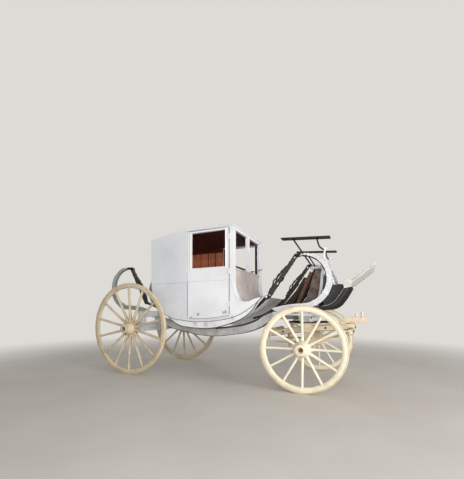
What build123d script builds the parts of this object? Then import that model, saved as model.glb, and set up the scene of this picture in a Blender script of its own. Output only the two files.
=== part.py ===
"""A coupe carriage hung on C springs over a perch, with a steering fore carriage.

Millimetres, X forward, Y to the carriage's left, Z up, the origin on the floor at the middle
of the bounding box. Sides are named as the coachman sees them.
"""

from build123d import *
from dataclasses import dataclass
from math import cos, degrees, radians, sin, sqrt
import os

# Running gear
WHEELBASE = 2507
REAR_AXLE_X = -1298
FRONT_AXLE_X = REAR_AXLE_X + WHEELBASE
REAR_WHEEL_DIAMETER = 1333
FRONT_WHEEL_DIAMETER = 984
REAR_TRACK_HALF = 729
FRONT_TRACK_HALF = 698
TYRE_THICKNESS = 14
TYRE_WIDTH = 44
FELLOE_DEPTH = 58
FELLOE_WIDTH = 40
WHEEL_DISH = 38
NAVE_RADIUS = 93
NAVE_OUTER_LENGTH = 145
NAVE_INNER_LENGTH = 110
NAVE_OUTER_RADIUS = 60
NAVE_INNER_RADIUS = 76
AXLE_BOX_RADIUS = 35
AXLE_BOX_DEPTH = 42
ARM_DIAMETER = 52
RUNNING_GAP = 1.0
SPOKE_CORNER = 10
SPOKE_SIZES = {
    # end: foot and tongue, each its depth along the axle and its width round the wheel
    "front": ((46, 36), (32, 30)),
    "rear": ((50, 41), (36, 34)),
}
COLLAR_LENGTH = 12
COLLAR_RADIUS = 40
COLLAR_GAP = 3
ARM_REACH = 6

# Body
BODY_REAR_X = -1011
BODY_FRONT_X = 309
HALF_WIDTH = 586
WALL = 38
SHEET = 24
PILLAR = 75
ROOF_FRONT_Z = 2055
ROOF_CROWN_Z = 2060
ROOF_CROWN_X = -408
ROOF_REAR_Z = 1976
ROOF_THICKNESS = 38
BELT_Z = 1320
BOTTOM_LOW_X = -197
BOTTOM_LOW_Z = 775
BOTTOM_RADIUS = 2058
SILL_HEIGHT = 45
TOE_TIP = (707, 1099)

DOOR_REAR_X = -368
DOOR_FRONT_X = 257
DOOR_TOP_Z = 2010
DOOR_GAP = 5
WINDOW_SIDE = 50
WINDOW_SILL_Z = 1503
WINDOW_TOP_Z = 1986
FRONT_SILL_Z = 1494
FRONT_WINDOW_TOP_Z = 1990
FRONT_SILL_DEPTH = 24
MULLION_HALF = 35
PANEL_INSET = 8
HINGE_DIAMETER = 14
HINGE_LENGTH = 60
HINGE_HEIGHTS = (1010, 1440, 1890)
PIN_GAP = 0.6

FLOOR_Z = 862
FLOOR_THICKNESS = 18
BENCH_Z = 1230
BENCH_THICKNESS = 22
BENCH_DEPTH = 430

# Perch and springs
PERCH_WIDTH = 92
PERCH_DEPTH = 104
SPRING_TRACK_HALF = 450
SPRING_WIDTH = 58
SPRING_RADIUS = 322
SPRING_CENTRE_Z = 1300
FRONT_SPRING_X = FRONT_AXLE_X - 47
REAR_SPRING_X = REAR_AXLE_X - 270
LEAF_THICKNESS = 13
TAIL_RUN = 370
TAIL_DROP = 60
EYE_PIN = 26
SHACKLE_THICKNESS = 8
SHACKLE_REACH = 46
BRACE_THICKNESS = 9
BRACE_WIDTH = 44
BRACE_GAP = 3
BRACE_STITCH = 62
FORK_THICKNESS = 7
LOOP_THICKNESS = 24
LOOP_WIDTH = BRACE_WIDTH + 2 * (BRACE_GAP + FORK_THICKNESS)

# Front timbers, fixed to the perch
TRANSOM_LENGTH = 120
TRANSOM_LOW_Z = 783
TRANSOM_TOP_Z = 975
TRANSOM_HALF = 480
HORN_BAR_X = 842
HORN_BAR_LENGTH = 70
HORN_BAR_LOW_Z = 818
HORN_BAR_TOP_Z = 910
PLATE_RADIUS = 300
PLATE_RIM = 60
PLATE_THICKNESS = 14
PLATE_GAP = 1.5
KINGPIN_DIAMETER = 30

# Steering timbers
BED_LENGTH = 96
FRONT_BED_LOW_Z = 515
FUTCHELL_Y = 130
FUTCHELL_WIDTH = 55
FUTCHELL_DEPTH = 66
FUTCHELL_OVERHANG = 30
SPLINTER_HALF = 600
SPLINTER_X = 1702
SPLINTER_Z = 690
SPLINTER_DIAMETER = 62
SPLINTER_STAY_Y = (500, 560)
SPLINTER_STAY_FOOT_Z = 522
POLE_HEAD_TIP_X = SPLINTER_X + 196
SWAY_BAR_X = 690
SWAY_BAR_Z = 650
SWAY_BAR_THICKNESS = 40
SWAY_BAR_HALF = 300
GEAR_STAY_DIAMETER = 26

# Coachman's seat and footboard
SEAT_RAIL_Y = 450
SEAT_RAIL_WIDTH = 100
SEAT_RAIL_THICKNESS = 16
STANDARD_Y = 350
STANDARD_WIDTH = 40
STANDARD_THICKNESS = 26
ROD_DIAMETER = 18
STAY_ROD_DIAMETER = 14
BOOT_BOARD_HALF = 330
BOOT_BOARD_THICKNESS = 22
BOOT_SIDE_THICKNESS = 12
FOOTBOARD_HALF = 450
FOOTBOARD_THICKNESS = 48
CHEEK_THICKNESS = 20
TOE_BOARD_HALF = 400
TOE_BOARD_THICKNESS = 28

SEAT_CLEARANCE = 0.2
INNER_HALF = HALF_WIDTH - WALL
FRONT_RADIUS = FRONT_WHEEL_DIAMETER / 2
REAR_RADIUS = REAR_WHEEL_DIAMETER / 2
SIDES = (("right", -1), ("left", 1))

os.makedirs("parts", exist_ok=True)


def keep(part, name):
    """Label a finished piece and write it."""
    part.label = name
    export_step(part, f"parts/{name}.step")


def wall_plane(hand, distance):
    """Give the upright plane that lies `distance` from the middle on the side of `hand`."""
    return Plane.XZ.offset(-hand * distance)


def draw_runs(start, runs):
    """Draw straight runs and arcs end to end, each run a (through point or None, end point)."""
    here = start
    edges = []
    for through, end in runs:
        if through is None:
            edges.append(Line(here, end))
        else:
            edges.append(ThreePointArc(here, through, end))
        here = end
    return edges


def outline(start, runs):
    """Make the face that closed runs enclose, in the XZ plane's own coordinates."""
    with BuildSketch() as face:
        with BuildLine() as edge:
            add(draw_runs(start, runs))
            if (edge.line @ 1 - Vector(*start)).length > 0.01:
                Line(edge.line @ 1, start)
        make_face()
    return face.sketch


def bottom_z(x, rise=0):
    """Height of the body's bottom line at x, `rise` inside it."""
    reach = BOTTOM_RADIUS - rise
    return BOTTOM_LOW_Z + BOTTOM_RADIUS - sqrt(reach**2 - (x - BOTTOM_LOW_X) ** 2)


def rod(points, diameter, bend):
    """Make a round iron along straight runs in space, with its corners bent to a radius."""
    with BuildPart() as iron:
        with BuildLine() as route:
            if len(points) > 2:
                FilletPolyline(*points, radius=bend)
            else:
                Line(*points)
        with BuildSketch(Plane(origin=route.line @ 0, z_dir=route.line % 0)):
            Circle(diameter / 2)
        sweep(path=route.line)
    return iron.part


# Body outline: the through point of an arc, or None for a straight run, and the end point
REAR_FOOT = (BODY_REAR_X + 518, bottom_z(BODY_REAR_X + 518))
TOE_FOOT = (BODY_FRONT_X - 21, bottom_z(BODY_FRONT_X - 21))
BODY_START = (BODY_REAR_X, ROOF_REAR_Z)
BODY_RUNS = (
    (None, (BODY_REAR_X + 11, BELT_Z)),
    ((BODY_REAR_X + 75, 1080), (BODY_REAR_X + 255, 875)),
    ((BODY_REAR_X + 382, 818), REAR_FOOT),
    ((BOTTOM_LOW_X, BOTTOM_LOW_Z), TOE_FOOT),
    ((TOE_TIP[0] - 186, TOE_TIP[1] - 159), TOE_TIP),
    ((TOE_TIP[0] - 95, TOE_TIP[1] - 20), (TOE_TIP[0] - 177, TOE_TIP[1] - 56)),
    ((BODY_FRONT_X + 113, TOE_TIP[1] - 50), (BODY_FRONT_X + 38, TOE_TIP[1] + 41)),
    ((BODY_FRONT_X + 10, TOE_TIP[1] + 119), (BODY_FRONT_X, BELT_Z)),
    (None, (BODY_FRONT_X, ROOF_FRONT_Z)),
    (None, (ROOF_CROWN_X, ROOF_CROWN_Z)),
    (None, BODY_START),
)
body_face = outline(BODY_START, BODY_RUNS)

with BuildSketch() as roof_section:
    with BuildLine():
        Polyline(
            BODY_START,
            (ROOF_CROWN_X, ROOF_CROWN_Z),
            (BODY_FRONT_X, ROOF_FRONT_Z),
            (BODY_FRONT_X, ROOF_FRONT_Z - ROOF_THICKNESS),
            (ROOF_CROWN_X, ROOF_CROWN_Z - ROOF_THICKNESS),
            (BODY_REAR_X, ROOF_REAR_Z - ROOF_THICKNESS),
            close=True,
        )
    make_face()

with BuildSketch() as tub_section:
    add(body_face)
    add(roof_section.sketch, mode=Mode.SUBTRACT)


def outline_band(reach):
    """Make the band that lies within `reach` of the body's outline, on both sides of it."""
    with BuildSketch() as band:
        trace(body_face.edges(), line_width=2 * reach)
        for corner in body_face.vertices():
            with Locations((corner.X, corner.Y)):
                Circle(reach)
    return band.sketch


def tub_ring(outer_inset, inner_inset):
    """Make the section of a sheet that follows the body's outline inside it."""
    with BuildSketch() as ring:
        add(outline_band(inner_inset))
        add(tub_section.sketch, mode=Mode.INTERSECT)
        if outer_inset:
            add(outline_band(outer_inset), mode=Mode.SUBTRACT)
    return ring.sketch


# The line that parts the toe's lower sheet from its upper one
TOE_PART = (
    (BODY_FRONT_X - 60, TOE_TIP[1] - 169),
    (TOE_TIP[0] - 198, TOE_TIP[1] - 115),
    TOE_TIP,
    (TOE_TIP[0] + 90, TOE_TIP[1] + 30),
)
FRONT_BOARD_LOW_Z = FRONT_SILL_Z - FRONT_SILL_DEPTH

with BuildSketch() as front_region:
    with BuildLine():
        Polyline(
            *TOE_PART,
            (TOE_TIP[0] + 90, ROOF_CROWN_Z),
            (BODY_FRONT_X - 60, ROOF_CROWN_Z),
            close=True,
        )
    make_face()

with BuildSketch() as bottom_region:
    with BuildLine():
        Polyline(
            (REAR_FOOT[0], bottom_z(REAR_FOOT[0]) + 70),
            *TOE_PART,
            (TOE_TIP[0] + 90, BOTTOM_LOW_Z - 60),
            (REAR_FOOT[0], BOTTOM_LOW_Z - 60),
            close=True,
        )
    make_face()

# Roof
with BuildPart() as roof:
    with BuildSketch(Plane.XZ.offset(-HALF_WIDTH)):
        add(roof_section.sketch)
    extrude(amount=2 * HALF_WIDTH)
    fillet(roof.edges().group_by(Axis.Z)[-1], radius=10)
keep(roof.part, "roof")

# Back panel, with the tuck under of the body
sheet_ring = tub_ring(0, SHEET)
with BuildPart() as back_panel:
    with BuildSketch(Plane.XZ.offset(-INNER_HALF)):
        add(sheet_ring)
        with Locations((REAR_FOOT[0] + 600, 1500)):
            Rectangle(1200, 1600, mode=Mode.SUBTRACT)
        with Locations((BODY_REAR_X + 350, ROOF_REAR_Z - 30)):
            Rectangle(600, 240, mode=Mode.SUBTRACT)
    extrude(amount=2 * INNER_HALF)
keep(back_panel.part, "back_panel")

# Bottom panel, out to the underside of the toe
with BuildPart() as bottom_panel:
    with BuildSketch(Plane.XZ.offset(-INNER_HALF)):
        add(sheet_ring)
        add(bottom_region.sketch, mode=Mode.INTERSECT)
    extrude(amount=2 * INNER_HALF)
keep(bottom_panel.part, "bottom_panel")

# Front panel, hollow below the windows, set in between the pillars
FRONT_PANEL_HALF = INNER_HALF - PILLAR
with BuildPart() as front_panel:
    with BuildSketch(Plane.XZ.offset(-FRONT_PANEL_HALF)):
        add(tub_ring(PANEL_INSET, PANEL_INSET + SHEET))
        add(front_region.sketch, mode=Mode.INTERSECT)
        with Locations((BODY_FRONT_X, FRONT_BOARD_LOW_Z)):
            Rectangle(400, 800, align=(Align.CENTER, Align.MIN), mode=Mode.SUBTRACT)
    extrude(amount=2 * FRONT_PANEL_HALF)
keep(front_panel.part, "front_panel")

# Frame of the two front windows
FRONT_WINDOW_WIDTH = FRONT_PANEL_HALF - MULLION_HALF
with BuildPart() as front_frame:
    with BuildSketch(Plane.YZ.offset(BODY_FRONT_X - WALL)):
        with Locations((0, FRONT_BOARD_LOW_Z)):
            Rectangle(
                2 * FRONT_PANEL_HALF,
                ROOF_FRONT_Z - ROOF_THICKNESS - FRONT_BOARD_LOW_Z,
                align=(Align.CENTER, Align.MIN),
            )
        for hand in (-1, 1):
            with Locations((hand * (MULLION_HALF + FRONT_WINDOW_WIDTH / 2), FRONT_SILL_Z)):
                Rectangle(
                    FRONT_WINDOW_WIDTH,
                    FRONT_WINDOW_TOP_Z - FRONT_SILL_Z,
                    align=(Align.CENTER, Align.MIN),
                    mode=Mode.SUBTRACT,
                )
    extrude(amount=WALL)
keep(front_frame.part, "front_frame")

# Side walls and doors
DOOR_MIDDLE_X = (DOOR_REAR_X + DOOR_FRONT_X) / 2
HINGE_X = DOOR_FRONT_X + DOOR_GAP / 2
HINGE_Y = HALF_WIDTH + HINGE_DIAMETER / 2


def door_face(grow):
    """Make the door's outline, larger by `grow` all round."""
    rear, front, top = DOOR_REAR_X - grow, DOOR_FRONT_X + grow, DOOR_TOP_Z + grow
    rise = SILL_HEIGHT - grow
    return outline(
        (rear, bottom_z(rear, rise)),
        (
            ((DOOR_MIDDLE_X, bottom_z(DOOR_MIDDLE_X, rise)), (front, bottom_z(front, rise))),
            (None, (front, top)),
            (None, (rear, top)),
            (None, (rear, bottom_z(rear, rise))),
        ),
    )


def hinge_barrels(hand, on_door):
    """Make the hinge knuckles: the middle one on the door, the outer two with their pin."""
    third = HINGE_LENGTH / 3
    with BuildPart() as barrels:
        for height in HINGE_HEIGHTS:
            spans = (0,) if on_door else (-1, 1)
            for span in spans:
                with BuildSketch(Plane.XY.offset(height + span * third)):
                    with Locations((HINGE_X, hand * HINGE_Y)):
                        Circle(HINGE_DIAMETER / 2)
                    reach = -1 if on_door else 1
                    with Locations((HINGE_X + reach * 9, hand * (HINGE_Y - HINGE_DIAMETER / 4))):
                        Rectangle(18, HINGE_DIAMETER / 2)
                    if on_door:
                        with Locations((HINGE_X, hand * HINGE_Y)):
                            Circle(HINGE_DIAMETER / 4 + PIN_GAP, mode=Mode.SUBTRACT)
                extrude(amount=(third - PIN_GAP) / 2, both=True)
            if not on_door:
                with Locations((HINGE_X, hand * HINGE_Y, height)):
                    Cylinder(HINGE_DIAMETER / 4, HINGE_LENGTH)
    return barrels.part


pillar_ring = tub_ring(0, WALL)
for side, hand in SIDES:
    with BuildPart() as quarter_panel:
        with BuildSketch(wall_plane(hand, INNER_HALF)):
            add(tub_section.sketch)
            add(door_face(DOOR_GAP), mode=Mode.SUBTRACT)
            with Locations((DOOR_FRONT_X + DOOR_GAP, BOTTOM_LOW_Z - 100)):
                Rectangle(900, 1600, align=Align.MIN, mode=Mode.SUBTRACT)
            with Locations((DOOR_REAR_X - DOOR_GAP, DOOR_TOP_Z - 10)):
                Rectangle(900, 100, align=Align.MIN, mode=Mode.SUBTRACT)
        extrude(amount=-hand * WALL)
    keep(quarter_panel.part, f"quarter_panel_{side}")

    with BuildPart() as front_quarter:
        with BuildSketch(wall_plane(hand, INNER_HALF)):
            add(tub_section.sketch)
            with Locations((DOOR_FRONT_X + DOOR_GAP, BOTTOM_LOW_Z - 100)):
                Rectangle(1600, 1600, align=(Align.MAX, Align.MIN), mode=Mode.SUBTRACT)
        extrude(amount=-hand * WALL)
        with BuildSketch(wall_plane(hand, FRONT_PANEL_HALF)):
            add(pillar_ring)
            add(front_region.sketch, mode=Mode.INTERSECT)
        extrude(amount=-hand * PILLAR)
        add(hinge_barrels(hand, on_door=False))
    keep(front_quarter.part, f"front_quarter_{side}")

    with BuildPart() as door:
        with BuildSketch(wall_plane(hand, INNER_HALF)):
            add(door_face(0))
            with Locations((DOOR_REAR_X + WINDOW_SIDE, WINDOW_SILL_Z)):
                Rectangle(
                    DOOR_FRONT_X - DOOR_REAR_X - 2 * WINDOW_SIDE,
                    WINDOW_TOP_Z - WINDOW_SILL_Z,
                    align=Align.MIN,
                    mode=Mode.SUBTRACT,
                )
        extrude(amount=-hand * WALL)
        add(hinge_barrels(hand, on_door=True))
    keep(door.part, f"door_{side}")

    with BuildPart() as rocker:
        with BuildSketch(wall_plane(hand, HALF_WIDTH - 66)):
            add(
                outline(
                    (BODY_REAR_X + 311, 850),
                    (
                        ((BODY_REAR_X + 450, 746), (BODY_REAR_X + 611, 702)),
                        ((BOTTOM_LOW_X + 27, 688), (BOTTOM_LOW_X + 257, 702)),
                        ((BODY_FRONT_X - 40, 757), (BODY_FRONT_X + 103, 810)),
                        ((BODY_FRONT_X + 243, 905), (TOE_TIP[0] - 52, TOE_TIP[1] - 52)),
                    ),
                )
            )
            add(body_face, mode=Mode.SUBTRACT)
        extrude(amount=-hand * 66)
    keep(rocker.part, f"rocker_{side}")

# Floor and seat bench inside
with BuildPart() as floor_board:
    with BuildSketch(Plane.XY.offset(FLOOR_Z)):
        with Locations((BODY_REAR_X + 350, 0)):
            Rectangle(
                BODY_FRONT_X - BODY_REAR_X - 370,
                2 * INNER_HALF,
                align=(Align.MIN, Align.CENTER),
            )
    extrude(amount=FLOOR_THICKNESS)
keep(floor_board.part, "floor_board")

with BuildPart() as seat_bench:
    with BuildSketch(Plane.XZ.offset(-INNER_HALF)):
        with Locations((BODY_REAR_X + BENCH_DEPTH, BENCH_Z)):
            Rectangle(BENCH_DEPTH - 62, BENCH_THICKNESS, align=Align.MAX)
        with Locations((BODY_REAR_X + BENCH_DEPTH, FLOOR_Z + FLOOR_THICKNESS)):
            Rectangle(
                BENCH_THICKNESS,
                BENCH_Z - FLOOR_Z - FLOOR_THICKNESS,
                align=(Align.MAX, Align.MIN),
            )
    extrude(amount=2 * INNER_HALF)
keep(seat_bench.part, "seat_bench")


@dataclass
class Wheel:
    """One wheel: where it runs, how large it is and how many spokes it has."""

    name: str
    hand: int
    axle_x: float
    radius: float
    track_half: float
    spokes: int


WHEELS = tuple(
    Wheel(f"{end}_{side}", hand, axle_x, radius, track_half, spokes)
    for end, axle_x, radius, track_half, spokes in (
        ("rear", REAR_AXLE_X, REAR_RADIUS, REAR_TRACK_HALF, 14),
        ("front", FRONT_AXLE_X, FRONT_RADIUS, FRONT_TRACK_HALF, 12),
    )
    for side, hand in SIDES
)


def wheel_plane(wheel):
    """Give the plane of the spokes' feet, facing outboard, with its X axis up."""
    return Plane(
        origin=(wheel.axle_x, wheel.hand * (wheel.track_half - WHEEL_DISH), wheel.radius),
        x_dir=(0, 0, 1),
        z_dir=(0, wheel.hand, 0),
    )


for wheel in WHEELS:
    base = wheel_plane(wheel)
    rim_plane = base.offset(WHEEL_DISH)
    felloe_radius = wheel.radius - TYRE_THICKNESS
    felloe_inner = felloe_radius - FELLOE_DEPTH
    spoke_foot, spoke_tongue = SPOKE_SIZES[wheel.name.split("_")[0]]
    with BuildPart() as tyre:
        with BuildSketch(rim_plane.offset(-TYRE_WIDTH / 2)):
            Circle(wheel.radius)
            Circle(felloe_radius, mode=Mode.SUBTRACT)
        extrude(amount=TYRE_WIDTH)
        chamfer(tyre.edges().filter_by(GeomType.CIRCLE).sort_by(SortBy.RADIUS)[-2:], length=4)
    keep(tyre.part, f"tyre_{wheel.name}")

    with BuildPart() as wheel_body:
        with BuildSketch(rim_plane.offset(-FELLOE_WIDTH / 2)):
            Circle(felloe_radius)
            Circle(felloe_inner, mode=Mode.SUBTRACT)
        extrude(amount=FELLOE_WIDTH)
        inner_edges = wheel_body.edges().filter_by(GeomType.CIRCLE).sort_by(SortBy.RADIUS)[:2]
        chamfer(inner_edges, length=9)
        for number in range(wheel.spokes):
            turn = 360 / wheel.spokes * number
            along = Vector(cos(radians(turn)), sin(radians(turn)), 0)
            foot = along * (NAVE_RADIUS - 12)
            head = along * (felloe_inner + 8) + Vector(0, 0, WHEEL_DISH)
            lean = (head - foot).normalized()
            foot_plane = base * Plane(origin=foot, x_dir=(0, 0, 1), z_dir=lean)
            head_plane = base * Plane(origin=head, x_dir=(0, 0, 1), z_dir=lean)
            with BuildSketch(foot_plane):
                RectangleRounded(*spoke_foot, radius=SPOKE_CORNER)
            with BuildSketch(head_plane):
                RectangleRounded(*spoke_tongue, radius=SPOKE_CORNER)
            loft()
    nave_plane = Plane(origin=base.origin, x_dir=base.x_dir, z_dir=base.x_dir.cross(base.z_dir))
    with BuildPart() as nave:
        with BuildSketch(nave_plane):
            with BuildLine():
                Polyline(
                    (0, -NAVE_INNER_LENGTH),
                    (NAVE_INNER_RADIUS, -NAVE_INNER_LENGTH),
                    (NAVE_INNER_RADIUS, -NAVE_INNER_LENGTH + 24),
                    (NAVE_RADIUS, -34),
                    (NAVE_RADIUS, 34),
                    (NAVE_OUTER_RADIUS + 6, 92),
                    (NAVE_OUTER_RADIUS, 104),
                    (NAVE_OUTER_RADIUS, NAVE_OUTER_LENGTH),
                    (0, NAVE_OUTER_LENGTH),
                    close=True,
                )
            make_face()
        revolve(axis=Axis(base.origin, base.z_dir))
    with BuildPart() as spoked:
        add(wheel_body.part)
        add(nave.part)
        with BuildSketch(base.offset(-NAVE_INNER_LENGTH)):
            Circle(ARM_DIAMETER / 2 + RUNNING_GAP)
        extrude(amount=NAVE_INNER_LENGTH + NAVE_OUTER_LENGTH, mode=Mode.SUBTRACT)
        with BuildSketch(base.offset(NAVE_OUTER_LENGTH - AXLE_BOX_DEPTH)):
            Circle(AXLE_BOX_RADIUS)
        extrude(amount=AXLE_BOX_DEPTH, mode=Mode.SUBTRACT)
    keep(spoked.part, f"wheel_{wheel.name}")


def axle_arms(name_end):
    """Make the two round arms of an axle, with the collar that each nave runs against."""
    wheel = next(wheel for wheel in WHEELS if wheel.name == f"{name_end}_left")
    hub = wheel.track_half - WHEEL_DISH
    collar = hub - NAVE_INNER_LENGTH - COLLAR_GAP - COLLAR_LENGTH
    reach = hub + NAVE_OUTER_LENGTH - AXLE_BOX_DEPTH + ARM_REACH - collar
    with BuildPart() as arms:
        for hand in (-1, 1):
            inner_end = Plane(origin=(wheel.axle_x, hand * collar, wheel.radius), z_dir=(0, hand, 0))
            with BuildSketch(inner_end):
                Circle(COLLAR_RADIUS)
            extrude(amount=COLLAR_LENGTH)
            with BuildSketch(inner_end):
                Circle(ARM_DIAMETER / 2)
            extrude(amount=reach)
    return arms.part


def arm_collar(name_end):
    """Say how far out the collar's inner face lies."""
    track = REAR_TRACK_HALF if name_end == "rear" else FRONT_TRACK_HALF
    return track - WHEEL_DISH - NAVE_INNER_LENGTH - COLLAR_GAP - COLLAR_LENGTH


# Rear axle, its bed and the blocks under the springs
REAR_BEAM_DEPTH = 46
REAR_BEAM_Z = REAR_RADIUS - 34
REAR_BED_LOW_Z = REAR_BEAM_Z + REAR_BEAM_DEPTH / 2
REAR_BEAM_DROP_RUN = 70
REAR_BED_DEPTH = 70
REAR_BED_TOP_Z = REAR_BED_LOW_Z + REAR_BED_DEPTH

with BuildPart() as rear_axle:
    add(axle_arms("rear"))
    with BuildSketch(Plane.YZ.offset(REAR_AXLE_X - REAR_BEAM_DEPTH / 2)):
        with BuildLine():
            span = arm_collar("rear")
            Polyline(
                (-span, REAR_RADIUS),
                (REAR_BEAM_DROP_RUN - span, REAR_BEAM_Z),
                (span - REAR_BEAM_DROP_RUN, REAR_BEAM_Z),
                (span, REAR_RADIUS),
            )
        trace(line_width=REAR_BEAM_DEPTH)
    extrude(amount=REAR_BEAM_DEPTH)
keep(rear_axle.part, "rear_axle")

# C springs, built once in the middle plane about their own centre, for all four corners
SPRING_INNER_RADIUS = SPRING_RADIUS - 32
SPRING_LEAVES = (
    # turn from the lowest point to the leaf's end in degrees, length of its tail
    (184, 370),
    (160, 358),
    (131, 346),
    (99, 334),
    (66, 322),
)
TAIL_RADIUS = (TAIL_RUN**2 + TAIL_DROP**2) / (2 * TAIL_DROP)
TIP_TURN = SPRING_LEAVES[0][0]
TIP_RADIUS = SPRING_INNER_RADIUS + LEAF_THICKNESS / 2
TIP_PIN = (
    TIP_RADIUS * sin(radians(TIP_TURN)),
    SPRING_CENTRE_Z - TIP_RADIUS * cos(radians(TIP_TURN)),
)
BRACE_PIN = (
    TIP_PIN[0] + SHACKLE_REACH * cos(radians(TIP_TURN)),
    TIP_PIN[1] + SHACKLE_REACH * sin(radians(TIP_TURN)),
)
SPRING_LOW_Z = SPRING_CENTRE_Z - SPRING_INNER_RADIUS - len(SPRING_LEAVES) * LEAF_THICKNESS


def ring_sector(centre, inner, outer, start, turn):
    """Make the part of a flat ring between two angles."""
    with BuildSketch() as sector:
        with BuildLine():
            far = CenterArc(centre, outer, start, turn)
            near = CenterArc(centre, inner, start, turn)
            Line(far @ 0, near @ 0)
            Line(far @ 1, near @ 1)
        make_face()
    return sector.sketch


with BuildPart() as spring_pattern:
    with BuildSketch(Plane.XZ.offset(-SPRING_WIDTH / 2)):
        for number, (turn, tail) in enumerate(SPRING_LEAVES):
            inner = SPRING_INNER_RADIUS + number * LEAF_THICKNESS
            outer = inner + LEAF_THICKNESS
            add(ring_sector((0, SPRING_CENTRE_Z), inner, outer, -90, turn))
            tail_centre = (0, SPRING_CENTRE_Z - SPRING_INNER_RADIUS - TAIL_RADIUS)
            top = TAIL_RADIUS - number * LEAF_THICKNESS
            add(ring_sector(tail_centre, top - LEAF_THICKNESS, top, 90, degrees(tail / TAIL_RADIUS)))
        with Locations(TIP_PIN):
            Circle(EYE_PIN / 2 + 5)
    extrude(amount=SPRING_WIDTH)
    for hand in (-1, 1):
        with BuildSketch(wall_plane(hand, SPRING_WIDTH / 2)):
            with BuildLine() as link:
                Line(TIP_PIN, BRACE_PIN)
            trace(link.line, line_width=EYE_PIN + 8)
            for pin in (TIP_PIN, BRACE_PIN):
                with Locations(pin):
                    Circle(EYE_PIN / 2 + 4)
        extrude(amount=-hand * SHACKLE_THICKNESS)
    with BuildSketch(Plane.XZ.offset(-SPRING_WIDTH / 2 - SHACKLE_THICKNESS - 5)):
        for pin in (TIP_PIN, BRACE_PIN):
            with Locations(pin):
                Circle(EYE_PIN / 2)
    extrude(amount=SPRING_WIDTH + 2 * SHACKLE_THICKNESS + 10)

CORNERS = (
    # name, hand, spring centre X, way its tail runs
    ("front_right", -1, FRONT_SPRING_X, 1),
    ("front_left", 1, FRONT_SPRING_X, 1),
    ("rear_right", -1, REAR_SPRING_X, -1),
    ("rear_left", 1, REAR_SPRING_X, -1),
)
front_pattern = spring_pattern.part
rear_pattern = mirror(front_pattern, about=Plane.YZ)
springs = {}
for name, hand, spring_x, way in CORNERS:
    pattern = front_pattern if way > 0 else rear_pattern
    with BuildPart() as spring:
        add(pattern.moved(Location((spring_x, hand * SPRING_TRACK_HALF, 0))))
    springs[name] = spring.part
    keep(spring.part, f"c_spring_{name}")

# Body loops: irons under the body that end in a fork, and the leather braces
FRONT_LOOP_PIN = (TOE_TIP[0] + 42, TOE_TIP[1] - 2)
REAR_LOOP_PIN = (BODY_REAR_X - 197, 1050)

for name, hand, spring_x, way in CORNERS:
    loop_pin = FRONT_LOOP_PIN if way > 0 else REAR_LOOP_PIN
    with BuildPart() as loop:
        with BuildSketch(wall_plane(hand, SPRING_TRACK_HALF - LOOP_WIDTH / 2)):
            if way > 0:
                add(outline_band(LOOP_THICKNESS))
                with Locations((BODY_FRONT_X - 90, 0)):
                    Rectangle(1600, 4200, align=(Align.MAX, Align.MIN), mode=Mode.SUBTRACT)
                with Locations((BODY_FRONT_X - 90, TOE_TIP[1] - 12)):
                    Rectangle(1600, 2000, align=(Align.MIN, Align.MIN), mode=Mode.SUBTRACT)
                add(front_region.sketch, mode=Mode.SUBTRACT)
                with BuildLine() as tongue:
                    Line((TOE_TIP[0] - 20, TOE_TIP[1] - 34), (loop_pin[0] - 24, loop_pin[1] - 10))
                trace(tongue.line, line_width=LOOP_THICKNESS)
            else:
                with BuildLine() as tongue:
                    Polyline(
                        (REAR_FOOT[0] - 5, REAR_FOOT[1] - 12),
                        (BODY_REAR_X + 388, 800),
                        (BODY_REAR_X + 250, 862),
                        (BODY_REAR_X + 120, 935),
                        (BODY_REAR_X - 37, 1000),
                        (loop_pin[0] + 25, loop_pin[1] - 9),
                    )
                trace(tongue.line, line_width=LOOP_THICKNESS)
            add(body_face, mode=Mode.SUBTRACT)
        extrude(amount=-hand * LOOP_WIDTH)
        for flank in (0, LOOP_WIDTH - FORK_THICKNESS):
            with BuildSketch(wall_plane(hand, SPRING_TRACK_HALF - LOOP_WIDTH / 2 + flank)):
                with BuildLine() as link:
                    Line((loop_pin[0] - way * 40, loop_pin[1] - 18), loop_pin)
                trace(link.line, line_width=30)
                with Locations(loop_pin):
                    Circle(EYE_PIN / 2 + 6)
            extrude(amount=-hand * FORK_THICKNESS)
        with BuildSketch(wall_plane(hand, SPRING_TRACK_HALF - LOOP_WIDTH / 2 - 6)):
            with Locations(loop_pin):
                Circle(EYE_PIN / 2)
        extrude(amount=-hand * (LOOP_WIDTH + 12))
    keep(loop.part, f"body_loop_{name}")

    brace_top = (spring_x + way * BRACE_PIN[0], BRACE_PIN[1])
    with BuildPart() as brace:
        with BuildSketch(wall_plane(hand, SPRING_TRACK_HALF - BRACE_WIDTH / 2)):
            with BuildLine() as strap:
                Line(loop_pin, brace_top)
            inner = EYE_PIN / 2 + SEAT_CLEARANCE
            trace(strap.line, line_width=2 * (inner + BRACE_THICKNESS))
            for pin in (loop_pin, brace_top):
                with Locations(pin):
                    Circle(inner + BRACE_THICKNESS)
            trace(strap.line, line_width=2 * inner, mode=Mode.SUBTRACT)
            for pin in (loop_pin, brace_top):
                with Locations(pin):
                    Circle(inner, mode=Mode.SUBTRACT)
            length = (Vector(*brace_top) - Vector(*loop_pin)).length
            for start, end in ((BRACE_STITCH, 0.36 * length), (0.56 * length, length - BRACE_STITCH)):
                with BuildLine() as core:
                    Line(strap.line @ (start / length), strap.line @ (end / length))
                trace(core.line, line_width=2 * inner)
        extrude(amount=-hand * BRACE_WIDTH)
    keep(brace.part, f"brace_{name}")

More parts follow.
